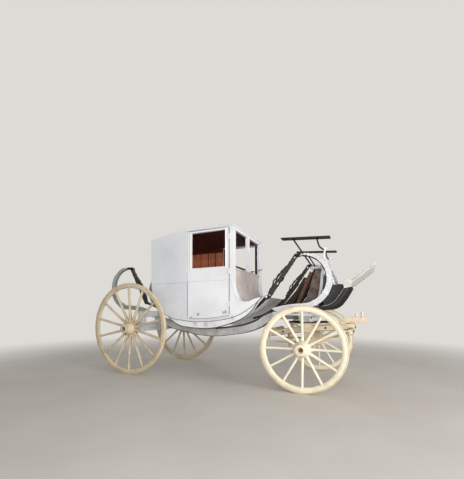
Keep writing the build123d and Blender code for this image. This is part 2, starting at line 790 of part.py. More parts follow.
# Perch, from the rear bed down under the body and up to the transom
TRANSOM_X = FRONT_SPRING_X + 20
TRANSOM_REAR_X = TRANSOM_X - TRANSOM_LENGTH / 2
with BuildPart() as perch:
    with BuildSketch(Plane.XZ.offset(-PERCH_WIDTH / 2)):
        with BuildLine() as perch_line:
            add(
                draw_runs(
                    (REAR_AXLE_X - 80, 803),
                    (
                        ((REAR_AXLE_X + 300, 692), (REAR_AXLE_X + 660, 621)),
                        ((REAR_AXLE_X + 1010, 592), (REAR_AXLE_X + 1378, 630)),
                        ((REAR_AXLE_X + 1598, 668), (REAR_AXLE_X + 1798, 748)),
                        ((REAR_AXLE_X + 1908, 822), (REAR_AXLE_X + 2058, 858)),
                        (None, (TRANSOM_REAR_X, 860)),
                    ),
                )
            )
        trace(perch_line.line, line_width=PERCH_DEPTH)
        with Locations((REAR_AXLE_X, 0)):
            Rectangle(110, REAR_BED_TOP_Z, align=(Align.CENTER, Align.MIN), mode=Mode.SUBTRACT)
        with Locations((TRANSOM_REAR_X, 0)):
            Rectangle(400, 2000, align=Align.MIN, mode=Mode.SUBTRACT)
    extrude(amount=PERCH_WIDTH)
keep(perch.part, "perch")

# Rear bed with its spring blocks and the stays to the perch
REAR_BED_HALF = 480
REAR_BED_LENGTH = 96
SPRING_BLOCK_WIDTH = 84
SPRING_BLOCK_RISE = 200
STAY_DIAMETER = 34
with BuildPart() as rear_axle_bed:
    with BuildSketch(Plane.YZ.offset(REAR_AXLE_X - REAR_BED_LENGTH / 2)):
        with Locations((0, REAR_BED_LOW_Z)):
            Rectangle(2 * REAR_BED_HALF, REAR_BED_DEPTH, align=(Align.CENTER, Align.MIN))
        for hand in (-1, 1):
            with Locations((hand * SPRING_TRACK_HALF, REAR_BED_TOP_Z - 5)):
                Rectangle(
                    SPRING_BLOCK_WIDTH, SPRING_BLOCK_RISE, align=(Align.CENTER, Align.MIN)
                )
    extrude(amount=REAR_BED_LENGTH)
    for hand in (-1, 1):
        add(
            rod(
                (
                    (REAR_AXLE_X + 20, hand * (SPRING_TRACK_HALF - 10), 880),
                    (REAR_AXLE_X + 530, hand * 20, 690),
                ),
                STAY_DIAMETER,
                0,
            )
        )
    add(perch.part, mode=Mode.SUBTRACT)
    add(springs["rear_right"], mode=Mode.SUBTRACT)
    add(springs["rear_left"], mode=Mode.SUBTRACT)
    for hand in (-1, 1):
        with Locations((REAR_AXLE_X, hand * SPRING_TRACK_HALF, SPRING_CENTRE_Z - 320)):
            Box(300, 120, 200, align=(Align.CENTER, Align.CENTER, Align.MIN), mode=Mode.SUBTRACT)
keep(rear_axle_bed.part, "rear_axle_bed")

# Transom and horn bar across the perch
with BuildPart() as transom:
    with BuildSketch(Plane.YZ.offset(TRANSOM_REAR_X)):
        with BuildLine():
            Polyline(
                (-TRANSOM_HALF, 860),
                (-TRANSOM_HALF, SPRING_LOW_Z + 20),
                (-TRANSOM_HALF + 80, SPRING_LOW_Z + 20),
                (-TRANSOM_HALF + 90, TRANSOM_TOP_Z),
                (TRANSOM_HALF - 90, TRANSOM_TOP_Z),
                (TRANSOM_HALF - 80, SPRING_LOW_Z + 20),
                (TRANSOM_HALF, SPRING_LOW_Z + 20),
                (TRANSOM_HALF, 860),
                (TRANSOM_HALF - 130, TRANSOM_LOW_Z),
                (-TRANSOM_HALF + 130, TRANSOM_LOW_Z),
                close=True,
            )
        make_face()
    extrude(amount=TRANSOM_LENGTH)
    add(springs["front_right"], mode=Mode.SUBTRACT)
    add(springs["front_left"], mode=Mode.SUBTRACT)
    with Locations((FRONT_AXLE_X, 0, TRANSOM_LOW_Z)):
        Cylinder(
            KINGPIN_DIAMETER / 2 + SEAT_CLEARANCE,
            TRANSOM_TOP_Z - TRANSOM_LOW_Z,
            align=(Align.CENTER, Align.CENTER, Align.MIN),
            mode=Mode.SUBTRACT,
        )
keep(transom.part, "transom")

with BuildPart() as horn_bar:
    with BuildSketch(Plane.YZ.offset(HORN_BAR_X - HORN_BAR_LENGTH / 2)):
        with Locations((0, HORN_BAR_LOW_Z)):
            Rectangle(
                2 * TRANSOM_HALF, HORN_BAR_TOP_Z - HORN_BAR_LOW_Z, align=(Align.CENTER, Align.MIN)
            )
    extrude(amount=HORN_BAR_LENGTH)
    add(perch.part, mode=Mode.SUBTRACT)
    add(springs["front_right"], mode=Mode.SUBTRACT)
    add(springs["front_left"], mode=Mode.SUBTRACT)
keep(horn_bar.part, "horn_bar")

# Wheel plates and kingpin
UPPER_PLATE_Z = TRANSOM_LOW_Z - PLATE_THICKNESS
LOWER_PLATE_Z = UPPER_PLATE_Z - PLATE_GAP - PLATE_THICKNESS
for name, height in (("wheel_plate_upper", UPPER_PLATE_Z), ("wheel_plate_lower", LOWER_PLATE_Z)):
    with BuildPart() as wheel_plate:
        with BuildSketch(Plane.XY.offset(height)):
            with Locations((FRONT_AXLE_X, 0)):
                Circle(PLATE_RADIUS)
                Circle(PLATE_RADIUS - PLATE_RIM, mode=Mode.SUBTRACT)
        extrude(amount=PLATE_THICKNESS)
    keep(wheel_plate.part, name)

with BuildPart() as kingpin:
    with BuildSketch(Plane.XY.offset(FRONT_BED_LOW_Z + 6)):
        with Locations((FRONT_AXLE_X, 0)):
            Circle(KINGPIN_DIAMETER / 2)
    extrude(amount=TRANSOM_TOP_Z - FRONT_BED_LOW_Z - 6)
    with BuildSketch(Plane.XY.offset(TRANSOM_TOP_Z)):
        with Locations((FRONT_AXLE_X, 0)):
            RegularPolygon(KINGPIN_DIAMETER, 6)
    extrude(amount=18)
keep(kingpin.part, "kingpin")

# Front axle, which steers
with BuildPart() as front_axle:
    add(axle_arms("front"))
    with Locations((FRONT_AXLE_X, 0, FRONT_RADIUS)):
        Box(REAR_BEAM_DEPTH, 2 * arm_collar("front"), 2 * (FRONT_BED_LOW_Z - FRONT_RADIUS))
keep(front_axle.part, "front_axle")

with BuildPart() as futchell_pair:
    for hand in (-1, 1):
        with BuildSketch(wall_plane(hand, FUTCHELL_Y - FUTCHELL_WIDTH / 2)):
            with BuildLine() as futchell_line:
                Polyline(
                    (SWAY_BAR_X - FUTCHELL_OVERHANG, 615),
                    (FRONT_AXLE_X, 697),
                    (FRONT_AXLE_X + 321, 712),
                    (SPLINTER_X + 30, 735),
                )
            trace(futchell_line.line, line_width=FUTCHELL_DEPTH)
        extrude(amount=-hand * FUTCHELL_WIDTH)
keep(futchell_pair.part, "futchells")

with BuildPart() as front_axle_bed:
    with BuildSketch(Plane.YZ.offset(FRONT_AXLE_X - BED_LENGTH / 2)):
        with BuildLine():
            Polyline(
                (-520, FRONT_BED_LOW_Z),
                (-520, 560),
                (-440, 655),
                (-PLATE_RADIUS - 10, 655),
                (-PLATE_RADIUS - 10, LOWER_PLATE_Z),
                (PLATE_RADIUS + 10, LOWER_PLATE_Z),
                (PLATE_RADIUS + 10, 655),
                (440, 655),
                (520, 560),
                (520, FRONT_BED_LOW_Z),
                close=True,
            )
        make_face()
    extrude(amount=BED_LENGTH)
    add(futchell_pair.part, mode=Mode.SUBTRACT)
    with Locations((FRONT_AXLE_X, 0, FRONT_BED_LOW_Z + 4)):
        Cylinder(
            KINGPIN_DIAMETER / 2 + RUNNING_GAP,
            LOWER_PLATE_Z - FRONT_BED_LOW_Z,
            align=(Align.CENTER, Align.CENTER, Align.MIN),
            mode=Mode.SUBTRACT,
        )
keep(front_axle_bed.part, "front_axle_bed")

# Splinter bar with an eye at each end, pole head and sway bar
EYE_RADIUS = 12
POLE_PIN_RADIUS = 14
with BuildPart() as splinter_bar:
    with BuildSketch(Plane.XZ.offset(-SPLINTER_HALF)):
        with Locations((SPLINTER_X, SPLINTER_Z)):
            Circle(SPLINTER_DIAMETER / 2)
    extrude(amount=2 * SPLINTER_HALF)
    add(futchell_pair.part, mode=Mode.SUBTRACT)
    for hand in (-1, 1):
        with BuildSketch(Plane.XY.offset(SPLINTER_Z - 8)):
            with Locations((SPLINTER_X, hand * (SPLINTER_HALF + 16))):
                Circle(EYE_RADIUS + 12)
                Circle(EYE_RADIUS, mode=Mode.SUBTRACT)
        extrude(amount=16)
        add(
            rod(
                (
                    (FRONT_AXLE_X + BED_LENGTH / 2 - 10, hand * SPLINTER_STAY_Y[0], SPLINTER_STAY_FOOT_Z),
                    (SPLINTER_X, hand * SPLINTER_STAY_Y[1], SPLINTER_Z),
                ),
                GEAR_STAY_DIAMETER,
                0,
            )
        )
    add(front_axle_bed.part, mode=Mode.SUBTRACT)
keep(splinter_bar.part, "splinter_bar")

with BuildPart() as pole_head:
    with BuildSketch(Plane.XZ.offset(-40)):
        with BuildLine():
            Polyline(
                (SPLINTER_X - 140, 700),
                (SPLINTER_X - 140, 815),
                (SPLINTER_X - 60, 842),
                (POLE_HEAD_TIP_X, 842),
                (POLE_HEAD_TIP_X, 790),
                (POLE_HEAD_TIP_X - 60, 772),
                (SPLINTER_X - 60, 772),
                (SPLINTER_X - 60, 700),
                close=True,
            )
        make_face()
    extrude(amount=80)
    with Locations((SPLINTER_X - 100, 0, 700)):
        Box(
            60,
            2 * FUTCHELL_Y - FUTCHELL_WIDTH,
            90,
            align=(Align.CENTER, Align.CENTER, Align.MIN),
        )
    for reach, radius, height in ((55, 11, 888), (118, 15, 908)):
        with Locations((SPLINTER_X + reach, 0, 840)):
            Cylinder(radius, height - 840, align=(Align.CENTER, Align.CENTER, Align.MIN))
    with Locations((POLE_HEAD_TIP_X - 45, 0, 760)):
        Cylinder(
            POLE_PIN_RADIUS,
            100,
            align=(Align.CENTER, Align.CENTER, Align.MIN),
            mode=Mode.SUBTRACT,
        )
keep(pole_head.part, "pole_head")

with BuildPart() as sway_bar:
    with Locations((SWAY_BAR_X + 40, 0, SWAY_BAR_Z)):
        Box(56, 2 * SWAY_BAR_HALF, SWAY_BAR_THICKNESS, align=(Align.CENTER, Align.CENTER, Align.MIN))
    for hand in (-1, 1):
        add(
            rod(
                (
                    (FRONT_AXLE_X - BED_LENGTH / 2 + 10, hand * (SWAY_BAR_HALF - 10), 532),
                    (SWAY_BAR_X + 12, hand * (SWAY_BAR_HALF - 15), 522),
                    (SWAY_BAR_X + 36, hand * (SWAY_BAR_HALF - 25), SWAY_BAR_Z + 15),
                ),
                GEAR_STAY_DIAMETER,
                40,
            )
        )
    add(futchell_pair.part, mode=Mode.SUBTRACT)
    add(front_axle_bed.part, mode=Mode.SUBTRACT)
keep(sway_bar.part, "sway_bar")

# Footboard, its cheeks and the toe board
CHEEK_Y = FOOTBOARD_HALF - 40
cheeks = {}
FOOTBOARD_START = (TRANSOM_REAR_X + TRANSOM_LENGTH, 945)
FOOTBOARD_RUNS = (
    (None, (FRONT_AXLE_X + 193, 960)),
    ((FRONT_AXLE_X + 303, 989), (FRONT_AXLE_X + 373, 1060)),
    ((FRONT_AXLE_X + 433, 1150), (FRONT_AXLE_X + 478, 1240)),
)
with BuildPart() as footboard:
    with BuildSketch(Plane.XZ.offset(-FOOTBOARD_HALF)):
        with BuildLine() as board_line:
            add(draw_runs(FOOTBOARD_START, FOOTBOARD_RUNS))
        trace(board_line.line, line_width=FOOTBOARD_THICKNESS)
        with Locations((FOOTBOARD_START[0], 800)):
            Rectangle(100, 400, align=(Align.MAX, Align.MIN), mode=Mode.SUBTRACT)
    extrude(amount=2 * FOOTBOARD_HALF)
    add(springs["front_right"], mode=Mode.SUBTRACT)
    add(springs["front_left"], mode=Mode.SUBTRACT)
keep(footboard.part, "footboard")

for side, hand in SIDES:
    with BuildPart() as cheek:
        with BuildSketch(wall_plane(hand, CHEEK_Y - CHEEK_THICKNESS / 2)):
            with BuildLine():
                Polyline(
                    (FRONT_AXLE_X + 225, 972),
                    (FRONT_AXLE_X + 185, 1050),
                    (FRONT_AXLE_X + 284, 1222),
                    (FRONT_AXLE_X + 383, 1232),
                    (FRONT_AXLE_X + 466, 1216),
                    (FRONT_AXLE_X + 430, 1145),
                    (FRONT_AXLE_X + 373, 1060),
                    (FRONT_AXLE_X + 330, 1000),
                    close=True,
                )
            make_face()
        extrude(amount=-hand * CHEEK_THICKNESS)
        add(footboard.part, mode=Mode.SUBTRACT)
    cheeks[side] = cheek.part
    keep(cheek.part, f"footboard_cheek_{side}")

TOE_BOARD_TIP = (FRONT_AXLE_X + 746, 1450)
with BuildPart() as toe_board:
    with BuildSketch(Plane.XZ.offset(-TOE_BOARD_HALF)):
        with BuildLine() as toe_line:
            Line((FRONT_AXLE_X + 462, 1228), TOE_BOARD_TIP)
        trace(toe_line.line, line_width=TOE_BOARD_THICKNESS)
    extrude(amount=2 * TOE_BOARD_HALF)
    add(footboard.part, mode=Mode.SUBTRACT)
    for cheek_hand in (-1, 1):
        with Locations((FRONT_AXLE_X + 440, cheek_hand * CHEEK_Y, 1200)):
            Box(60, CHEEK_THICKNESS + 2, 80, mode=Mode.SUBTRACT)
keep(toe_board.part, "toe_board")

# Coachman's seat: side rails, standards with their stay irons, and the boot board
RAIL_REAR = (FRONT_AXLE_X - 287, 1810)
RAIL_FRONT = (FRONT_AXLE_X + 283, 1775)


def rail_z(x):
    """Height of the seat rails' underside at x."""
    share = (x - RAIL_REAR[0]) / (RAIL_FRONT[0] - RAIL_REAR[0])
    return RAIL_REAR[1] + share * (RAIL_FRONT[1] - RAIL_REAR[1]) - SEAT_RAIL_THICKNESS / 2


for side, hand in SIDES:
    with BuildPart() as seat_rail:
        with BuildSketch(wall_plane(hand, SEAT_RAIL_Y - SEAT_RAIL_WIDTH / 2)):
            with BuildLine() as rail_line:
                Line(RAIL_REAR, RAIL_FRONT)
            trace(rail_line.line, line_width=SEAT_RAIL_THICKNESS)
        extrude(amount=-hand * SEAT_RAIL_WIDTH)
    keep(seat_rail.part, f"seat_rail_{side}")

    with BuildPart() as standard:
        with BuildSketch(wall_plane(hand, STANDARD_Y - STANDARD_THICKNESS / 2)):
            with BuildLine() as upright:
                Polyline(
                    (FRONT_AXLE_X + 113, 955),
                    (FRONT_AXLE_X + 164, 1173),
                    (FRONT_AXLE_X + 180, 1400),
                    (FRONT_AXLE_X + 213, 1670),
                )
            trace(upright.line, line_width=STANDARD_WIDTH)
            with BuildLine() as arm:
                Line((FRONT_AXLE_X + 60, 1447), (FRONT_AXLE_X + 190, 1447))
            trace(arm.line, line_width=30)
        extrude(amount=-hand * STANDARD_THICKNESS)
        rear_top_x = FRONT_AXLE_X - 150
        front_top_x = FRONT_AXLE_X + 123
        add(
            rod(
                (
                    (FRONT_AXLE_X + 70, hand * STANDARD_Y, 1445),
                    (FRONT_AXLE_X + 10, hand * (STANDARD_Y + 20), 1545),
                    (rear_top_x, hand * (SEAT_RAIL_Y - 10), rail_z(rear_top_x) + 5),
                ),
                ROD_DIAMETER,
                40,
            )
        )
        add(
            rod(
                (
                    (FRONT_AXLE_X + 210, hand * STANDARD_Y, 1650),
                    (FRONT_AXLE_X + 205, hand * (STANDARD_Y + 10), 1700),
                    (front_top_x, hand * (SEAT_RAIL_Y - 10), rail_z(front_top_x) + 5),
                ),
                ROD_DIAMETER,
                30,
            )
        )
        add(
            rod(
                (
                    (FRONT_AXLE_X + 323, hand * (CHEEK_Y - 2), 1228),
                    (FRONT_AXLE_X + 266, hand * (CHEEK_Y - 25), 1400),
                    (FRONT_AXLE_X + 205, hand * STANDARD_Y, 1570),
                ),
                STAY_ROD_DIAMETER,
                60,
            )
        )
        add(cheeks[side], mode=Mode.SUBTRACT)
        add(footboard.part, mode=Mode.SUBTRACT)
        add(seat_rail.part, mode=Mode.SUBTRACT)
    keep(standard.part, f"seat_standard_{side}")

BOOT_FOOT_Z = TRANSOM_TOP_Z
BOOT_RAIL_TOP_Z = BOOT_FOOT_Z + 34
BOOT_SLAT_WIDTH = 62
BOOT_SLATS = (
    # x of the foot and of the head on the slat's rear edge, height of the head
    (FRONT_AXLE_X - 360, FRONT_AXLE_X - 140, 1259),
    (FRONT_AXLE_X - 262, FRONT_AXLE_X - 40, 1342),
    (FRONT_AXLE_X - 158, FRONT_AXLE_X + 30, 1412),
)
with BuildPart() as boot_board:
    with BuildSketch(Plane.XZ.offset(-BOOT_BOARD_HALF)):
        with BuildLine() as boot_line:
            Line((FRONT_AXLE_X + 100, 1440), (FRONT_AXLE_X - 302, 904))
        trace(boot_line.line, line_width=BOOT_BOARD_THICKNESS)
    extrude(amount=2 * BOOT_BOARD_HALF)
    for hand in (-1, 1):
        with BuildSketch(wall_plane(hand, BOOT_BOARD_HALF - BOOT_SIDE_THICKNESS)):
            with BuildLine():
                Polyline(
                    (FRONT_AXLE_X + 100, 1436),
                    (FRONT_AXLE_X + 165, 1436),
                    (FRONT_AXLE_X + 150, 1173),
                    (FRONT_AXLE_X + 118, BOOT_FOOT_Z),
                    (FRONT_AXLE_X - 360, BOOT_FOOT_Z),
                    (FRONT_AXLE_X - 360, BOOT_RAIL_TOP_Z),
                    (FRONT_AXLE_X - 54, BOOT_RAIL_TOP_Z),
                    close=True,
                )
            make_face()
            for foot_x, head_x, head_z in BOOT_SLATS:
                with BuildLine():
                    Polyline(
                        (foot_x, BOOT_FOOT_Z),
                        (head_x, head_z),
                        (head_x + BOOT_SLAT_WIDTH, head_z),
                        (foot_x + BOOT_SLAT_WIDTH, BOOT_FOOT_Z),
                        close=True,
                    )
                make_face()
        extrude(amount=-hand * BOOT_SIDE_THICKNESS)
    add(footboard.part, mode=Mode.SUBTRACT)
    add(perch.part, mode=Mode.SUBTRACT)
keep(boot_board.part, "boot_board")
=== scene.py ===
"""Dresses the coupe carriage: chalky primer, worn coach paint, leather, irons and bare boards.

Every piece is in metres, in the frame's own axes: X forward, Y to the carriage's left, Z up.
"""

import logging
import math
from dataclasses import dataclass, field
from enum import Enum
from itertools import product
from typing import Callable, Sequence

import bmesh
import bpy
from mathutils import Matrix, Vector

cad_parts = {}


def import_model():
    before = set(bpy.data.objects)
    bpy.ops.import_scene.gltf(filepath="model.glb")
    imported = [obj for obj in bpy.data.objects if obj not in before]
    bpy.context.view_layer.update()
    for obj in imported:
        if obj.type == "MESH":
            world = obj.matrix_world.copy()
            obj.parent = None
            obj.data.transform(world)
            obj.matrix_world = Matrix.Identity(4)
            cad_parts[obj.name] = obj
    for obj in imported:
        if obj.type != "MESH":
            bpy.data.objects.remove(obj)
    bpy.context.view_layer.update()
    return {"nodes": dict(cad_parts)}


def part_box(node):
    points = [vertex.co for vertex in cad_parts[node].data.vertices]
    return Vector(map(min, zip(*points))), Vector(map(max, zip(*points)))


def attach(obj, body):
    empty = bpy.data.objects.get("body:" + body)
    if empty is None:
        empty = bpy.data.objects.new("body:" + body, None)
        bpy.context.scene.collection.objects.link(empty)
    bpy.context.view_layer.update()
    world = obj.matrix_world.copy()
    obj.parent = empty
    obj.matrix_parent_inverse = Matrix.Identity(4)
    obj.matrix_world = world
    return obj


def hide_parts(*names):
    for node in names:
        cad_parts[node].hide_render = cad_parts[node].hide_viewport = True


LOG = logging.getLogger("carriage")
Rgb = tuple[float, float, float]
Seen = tuple[int, int, int]
Point = tuple[float, float]
Span = tuple[float, float]
Place = tuple[float, float, float]
Arc = tuple[Point, Point, Point]
Socket = bpy.types.NodeSocket
Sockets = dict[str, Socket]

ACROSS = Vector((0, 1, 0))
UP = Vector((0, 0, 1))
# The sockets of a mixing node: its share, its two colours and what comes out.
MIX_TAKES, MIX_GIVES = (0, 6, 7), 2


def linear(value: int) -> float:
    """Turn one part of a colour as it is seen, 0 to 255, into its linear value."""
    share = value / 255
    return share / 12.92 if share <= 0.04045 else ((share + 0.055) / 1.055) ** 2.4


def srgb(red: int, green: int, blue: int) -> Rgb:
    """Turn a colour as it is seen into the linear values that a shader takes."""
    return (linear(red), linear(green), linear(blue))


class Named(Enum):
    """A choice whose name is a word in the frame's own names."""

    @property
    def word(self) -> str:
        """Give the name as the frame writes it."""
        return self.name.lower()


class Side(Named):
    """The carriage's two sides, with the sign of their Y."""

    RIGHT = -1
    LEFT = 1

    def at(self, reach: float, points: Sequence[Point]) -> list[Vector]:
        """Place points of the XZ plane at a distance from the middle."""
        return [Vector((x, self.value * reach, z)) for x, z in points]

    def spot(self, x: float, y: float, z: float) -> Vector:
        """Give a place or a way of the left side on this side."""
        return Vector((x, self.value * y, z))

    def span(self, near: float, far: float) -> list[float]:
        """Give the lower and the higher Y between two distances from the middle."""
        return sorted((self.value * near, self.value * far))


class End(Named):
    """The carriage's two ends, with the way that a spring's bow opens there."""

    FRONT = 1
    REAR = -1


class Net:
    """Builds and joins the nodes of one shader tree."""

    def __init__(self, tree: bpy.types.NodeTree) -> None:
        """Work in the given tree."""
        self.tree = tree

    def node(self, kind: str, feeds: dict[str, object] | None = None, **settings: object) -> bpy.types.Node:
        """Add a node.

        Args:
            kind: The node's type.
            feeds: What its inputs get, by their names.
            settings: The node's own settings.

        Returns:
            The new node.
        """
        made = self.tree.nodes.new(kind)
        for name, value in settings.items():
            setattr(made, name, value)
        for name, value in (feeds or {}).items():
            self.feed(made.inputs[name], value)
        return made

    def feed(self, socket: Socket, value: object) -> None:
        """Give a socket a value or a link.

        Args:
            socket: The socket to feed.
            value: Another node's socket, or a plain value.
        """
        if isinstance(value, Socket):
            self.tree.links.new(value, socket)
        elif socket.type == "RGBA" and isinstance(value, tuple) and len(value) == 3:
            socket.default_value = (*value, 1.0)
        else:
            socket.default_value = value

    def math(self, operation: str, first: object, second: object, clamp: bool = False) -> Socket:
        """Add a sum of two values.

        Args:
            operation: What is done with them.
            first: The first value or socket.
            second: The second value or socket.
            clamp: Whether the answer stays between 0 and 1.

        Returns:
            The socket with the answer.
        """
        made = self.node("ShaderNodeMath", operation=operation, use_clamp=clamp)
        self.feed(made.inputs[0], first)
        self.feed(made.inputs[1], second)
        return made.outputs[0]

    def times(self, first: object, second: object, clamp: bool = False) -> Socket:
        """Multiply two values."""
        return self.math("MULTIPLY", first, second, clamp)

    def vector(self, operation: str, *values: object) -> bpy.types.Node:
        """Add a sum of vectors.

        Args:
            operation: What is done with them.
            values: The values or sockets.

        Returns:
            The node, because its output depends on what is done.
        """
        made = self.node("ShaderNodeVectorMath", operation=operation)
        for socket, value in zip(made.inputs, values):
            self.feed(socket, value)
        return made

    def blend(self, share: object, first: object, second: object) -> Socket:
        """Blend two colours.

        Args:
            share: How much of the second colour is taken.
            first: The first colour.
            second: The second colour.

        Returns:
            The socket with the blended colour.
        """
        made = self.node("ShaderNodeMix", data_type="RGBA")
        for number, value in zip(MIX_TAKES, (share, first, second)):
            self.feed(made.inputs[number], value)
        return made.outputs[MIX_GIVES]

    def noise(self, where: Socket, scale: object, detail: float, rough: float) -> Socket:
        """Give a cloudy noise read at a place, with finer layers up to a detail and roughness."""
        feeds = {"Vector": where, "Scale": scale, "Detail": detail, "Roughness": rough}
        return self.node("ShaderNodeTexNoise", feeds).outputs["Fac"]

    def window(self, value: object, low: object, high: object) -> Socket:
        """Stretch a value so that low gives 0 and high gives 1, with eased ends."""
        feeds = {"Value": value, "From Min": low, "From Max": high}
        return self.node("ShaderNodeMapRange", feeds, interpolation_type="SMOOTHSTEP").outputs["Result"]

    def place(self) -> Socket:
        """Give the place on the object, which is its place in the frame."""
        return self.node("ShaderNodeTexCoord").outputs["Object"]

    def height(self, vector: Socket) -> Socket:
        """Give a vector's Z."""
        return self.node("ShaderNodeSeparateXYZ", {"Vector": vector}).outputs["Z"]

    def facing(self) -> Socket:
        """Give the way that the surface faces."""
        return self.node("ShaderNodeNewGeometry").outputs["Normal"]


COLORS = "Paint Shade Bare Under Dirt Light Dark Mark Color".split()
VECTORS = "Stretch Middle".split()


def socket_type(name: str) -> str:
    """Give the type of a group's socket, which is a value unless its name is a colour's or a vector's."""
    return "NodeSocket" + ("Color" if name in COLORS else "Vector" if name in VECTORS else "Float")


@dataclass
class Effect:
    """A shader node group that several finishes share, built once."""

    name: str
    takes: str
    gives: str
    build: Callable[[Net, Sockets], Sockets]

    def tree(self) -> bpy.types.NodeTree:
        """Build the group's tree at its first use.

        Returns:
            The tree.
        """
        tree = bpy.data.node_groups.get(self.name)
        if tree is not None:
            return tree
        tree = bpy.data.node_groups.new(self.name, "ShaderNodeTree")
        for way, names in (("INPUT", self.takes), ("OUTPUT", self.gives)):
            for name in names.split():
                tree.interface.new_socket(name=name, in_out=way, socket_type=socket_type(name))
        net = Net(tree)
        entry = net.node("NodeGroupInput")
        made = self.build(net, {name: entry.outputs[name] for name in self.takes.split()})
        net.node("NodeGroupOutput", made)
        return tree

    def use(self, net: Net, **values: object) -> Sockets:
        """Place the group in a material.

        Args:
            net: The material's own net.
            values: A value or socket for each input.

        Returns:
            The group's output sockets by name.
        """
        made = net.node("ShaderNodeGroup", node_tree=self.tree())
        for name, value in values.items():
            net.feed(made.inputs[name], value)
        return {name: made.outputs[name] for name in self.gives.split()}


def _chalk(net: Net, take: Sockets) -> Sockets:
    """Build broad cloudy patches, fine flecks and chips through to the coat below.

    Args:
        net: The group's net.
        take: The group's inputs.

    Returns:
        The group's outputs.
    """
    place = net.place()
    broad = net.noise(place, take["Scale"], 5.0, 0.6)
    fine = net.noise(place, net.times(take["Scale"], 9.0), 8.0, 0.7)
    patch = net.times(net.window(broad, 0.38, 0.68), take["Mottle"])
    coat = net.blend(patch, take["Paint"], take["Shade"])
    edge = net.math("SUBTRACT", 0.86, net.times(take["Chips"], 0.36))
    chip = net.window(fine, edge, net.math("ADD", edge, 0.04))
    chipped = net.times(chip, net.window(broad, 0.35, 0.6))
    color = net.blend(chipped, coat, take["Bare"])
    height = net.math("SUBTRACT", net.times(fine, 0.35), net.times(chipped, 0.8))
    return {"Color": color, "Height": height, "Chipped": chipped}


CHALK = Effect("chalky coat", "Paint Shade Bare Scale Mottle Chips", "Color Height Chipped", _chalk)


def _grime(net: Net, take: Sockets) -> Sockets:
    """Build dirt that gathers low down and lies on what faces up.

    Args:
        net: The group's net.
        take: The group's inputs.

    Returns:
        The group's outputs.
    """
    place = net.place()
    low = net.window(net.height(place), take["Top"], net.math("SUBTRACT", take["Top"], 0.45))
    lying = net.times(net.window(net.height(net.facing()), 0.35, 0.95), 0.55)
    cloud = net.window(net.noise(place, 7.0, 6.0, 0.65), 0.35, 0.7)
    speck = net.window(net.noise(place, 60.0, 3.0, 0.6), 0.45, 0.7)
    share = net.math("MAXIMUM", net.times(low, cloud), lying)
    share = net.times(share, net.math("ADD", 0.6, net.times(speck, 0.4)))
    share = net.times(share, take["Amount"], clamp=True)
    return {"Color": net.blend(share, take["Under"], take["Dirt"])}


GRIME = Effect("settled grime", "Under Dirt Amount Top", "Color", _grime)


def _rub(net: Net, take: Sockets) -> Sockets:
    """Build a mask of corners and edges that hands and boots have rubbed.

    Args:
        net: The group's net.
        take: The group's inputs.

    Returns:
        The group's outputs.
    """
    rounded = net.node("ShaderNodeBevel", {"Radius": take["Reach"]}, samples=4).outputs["Normal"]
    turn = net.vector("DOT_PRODUCT", rounded, net.facing()).outputs["Value"]
    edge = net.window(turn, 0.995, 0.86)
    broken = net.window(net.noise(net.place(), 26.0, 6.0, 0.7), 0.34, 0.6)
    share = net.times(net.times(edge, broken), take["Amount"], clamp=True)
    return {"Color": net.blend(share, take["Under"], take["Bare"]), "Rubbed": share}


RUB = Effect("rubbed edges", "Under Bare Reach Amount", "Color Rubbed", _rub)


def _grain(net: Net, take: Sockets) -> Sockets:
    """Build timber grain: long streaks, growth bands and open pores.

    Args:
        net: The group's net.
        take: The group's inputs.

    Returns:
        The group's outputs.
    """
    along = net.vector("MULTIPLY", net.place(), take["Stretch"]).outputs[0]
    warp = net.noise(along, 2.2, 3.0, 0.5)
    feeds = {"Vector": along, "Scale": 1.6, "Distortion": 7.0, "Detail": 3.0}
    bands = net.node("ShaderNodeTexWave", feeds, wave_type="BANDS", bands_direction="DIAGONAL")
    pores = net.window(net.noise(along, 18.0, 6.0, 0.75), 0.36, 0.64)
    streak = net.math("ADD", net.times(bands.outputs["Fac"], 0.5), net.times(warp, 0.5))
    share = net.times(net.math("ADD", streak, net.times(pores, 0.45)), 0.75, clamp=True)
    return {"Color": net.blend(share, take["Light"], take["Dark"]), "Height": share}


GRAIN = Effect("timber grain", "Light Dark Stretch", "Color Height", _grain)


def _smudge(net: Net, take: Sockets) -> Sockets:
    """Build a soft smudge about one place, with a wavering edge.

    Args:
        net: The group's net.
        take: The group's inputs.

    Returns:
        The group's outputs.
    """
    place = net.place()
    waver = net.node("ShaderNodeTexNoise", {"Vector": place, "Scale": 24.0}).outputs["Color"]
    shift = net.vector("MULTIPLY_ADD", waver, (0.05, 0.05, 0.05), (-0.025, -0.025, -0.025))
    moved = net.vector("ADD", place, shift.outputs[0])
    apart = net.vector("DISTANCE", moved.outputs[0], take["Middle"]).outputs["Value"]
    share = net.window(apart, take["Reach"], net.times(take["Reach"], 0.3))
    return {"Color": net.blend(net.times(share, take["Amount"]), take["Under"], take["Mark"])}


SMUDGE = Effect("soft smudge", "Under Mark Middle Reach Amount", "Color", _smudge)


def _cracks(net: Net, take: Sockets) -> Sockets:
    """Build the fine net of creases of old hide.

    Args:
        net: The group's net.
        take: The group's inputs.

    Returns:
        The group's outputs.
    """
    place = net.place()
    feeds = {"Vector": place, "Scale": take["Scale"]}
    cells = net.node("ShaderNodeTexVoronoi", feeds, feature="DISTANCE_TO_EDGE")
    soft = net.noise(place, net.times(take["Scale"], 0.2), 4.0, 0.6)
    crease = net.times(net.window(cells.outputs["Distance"], 0.07, 0.0), net.window(soft, 0.4, 0.62))
    return {"Crease": crease, "Height": net.math("SUBTRACT", 1.0, crease)}


CRACKS = Effect("fine creases", "Scale", "Crease Height", _cracks)


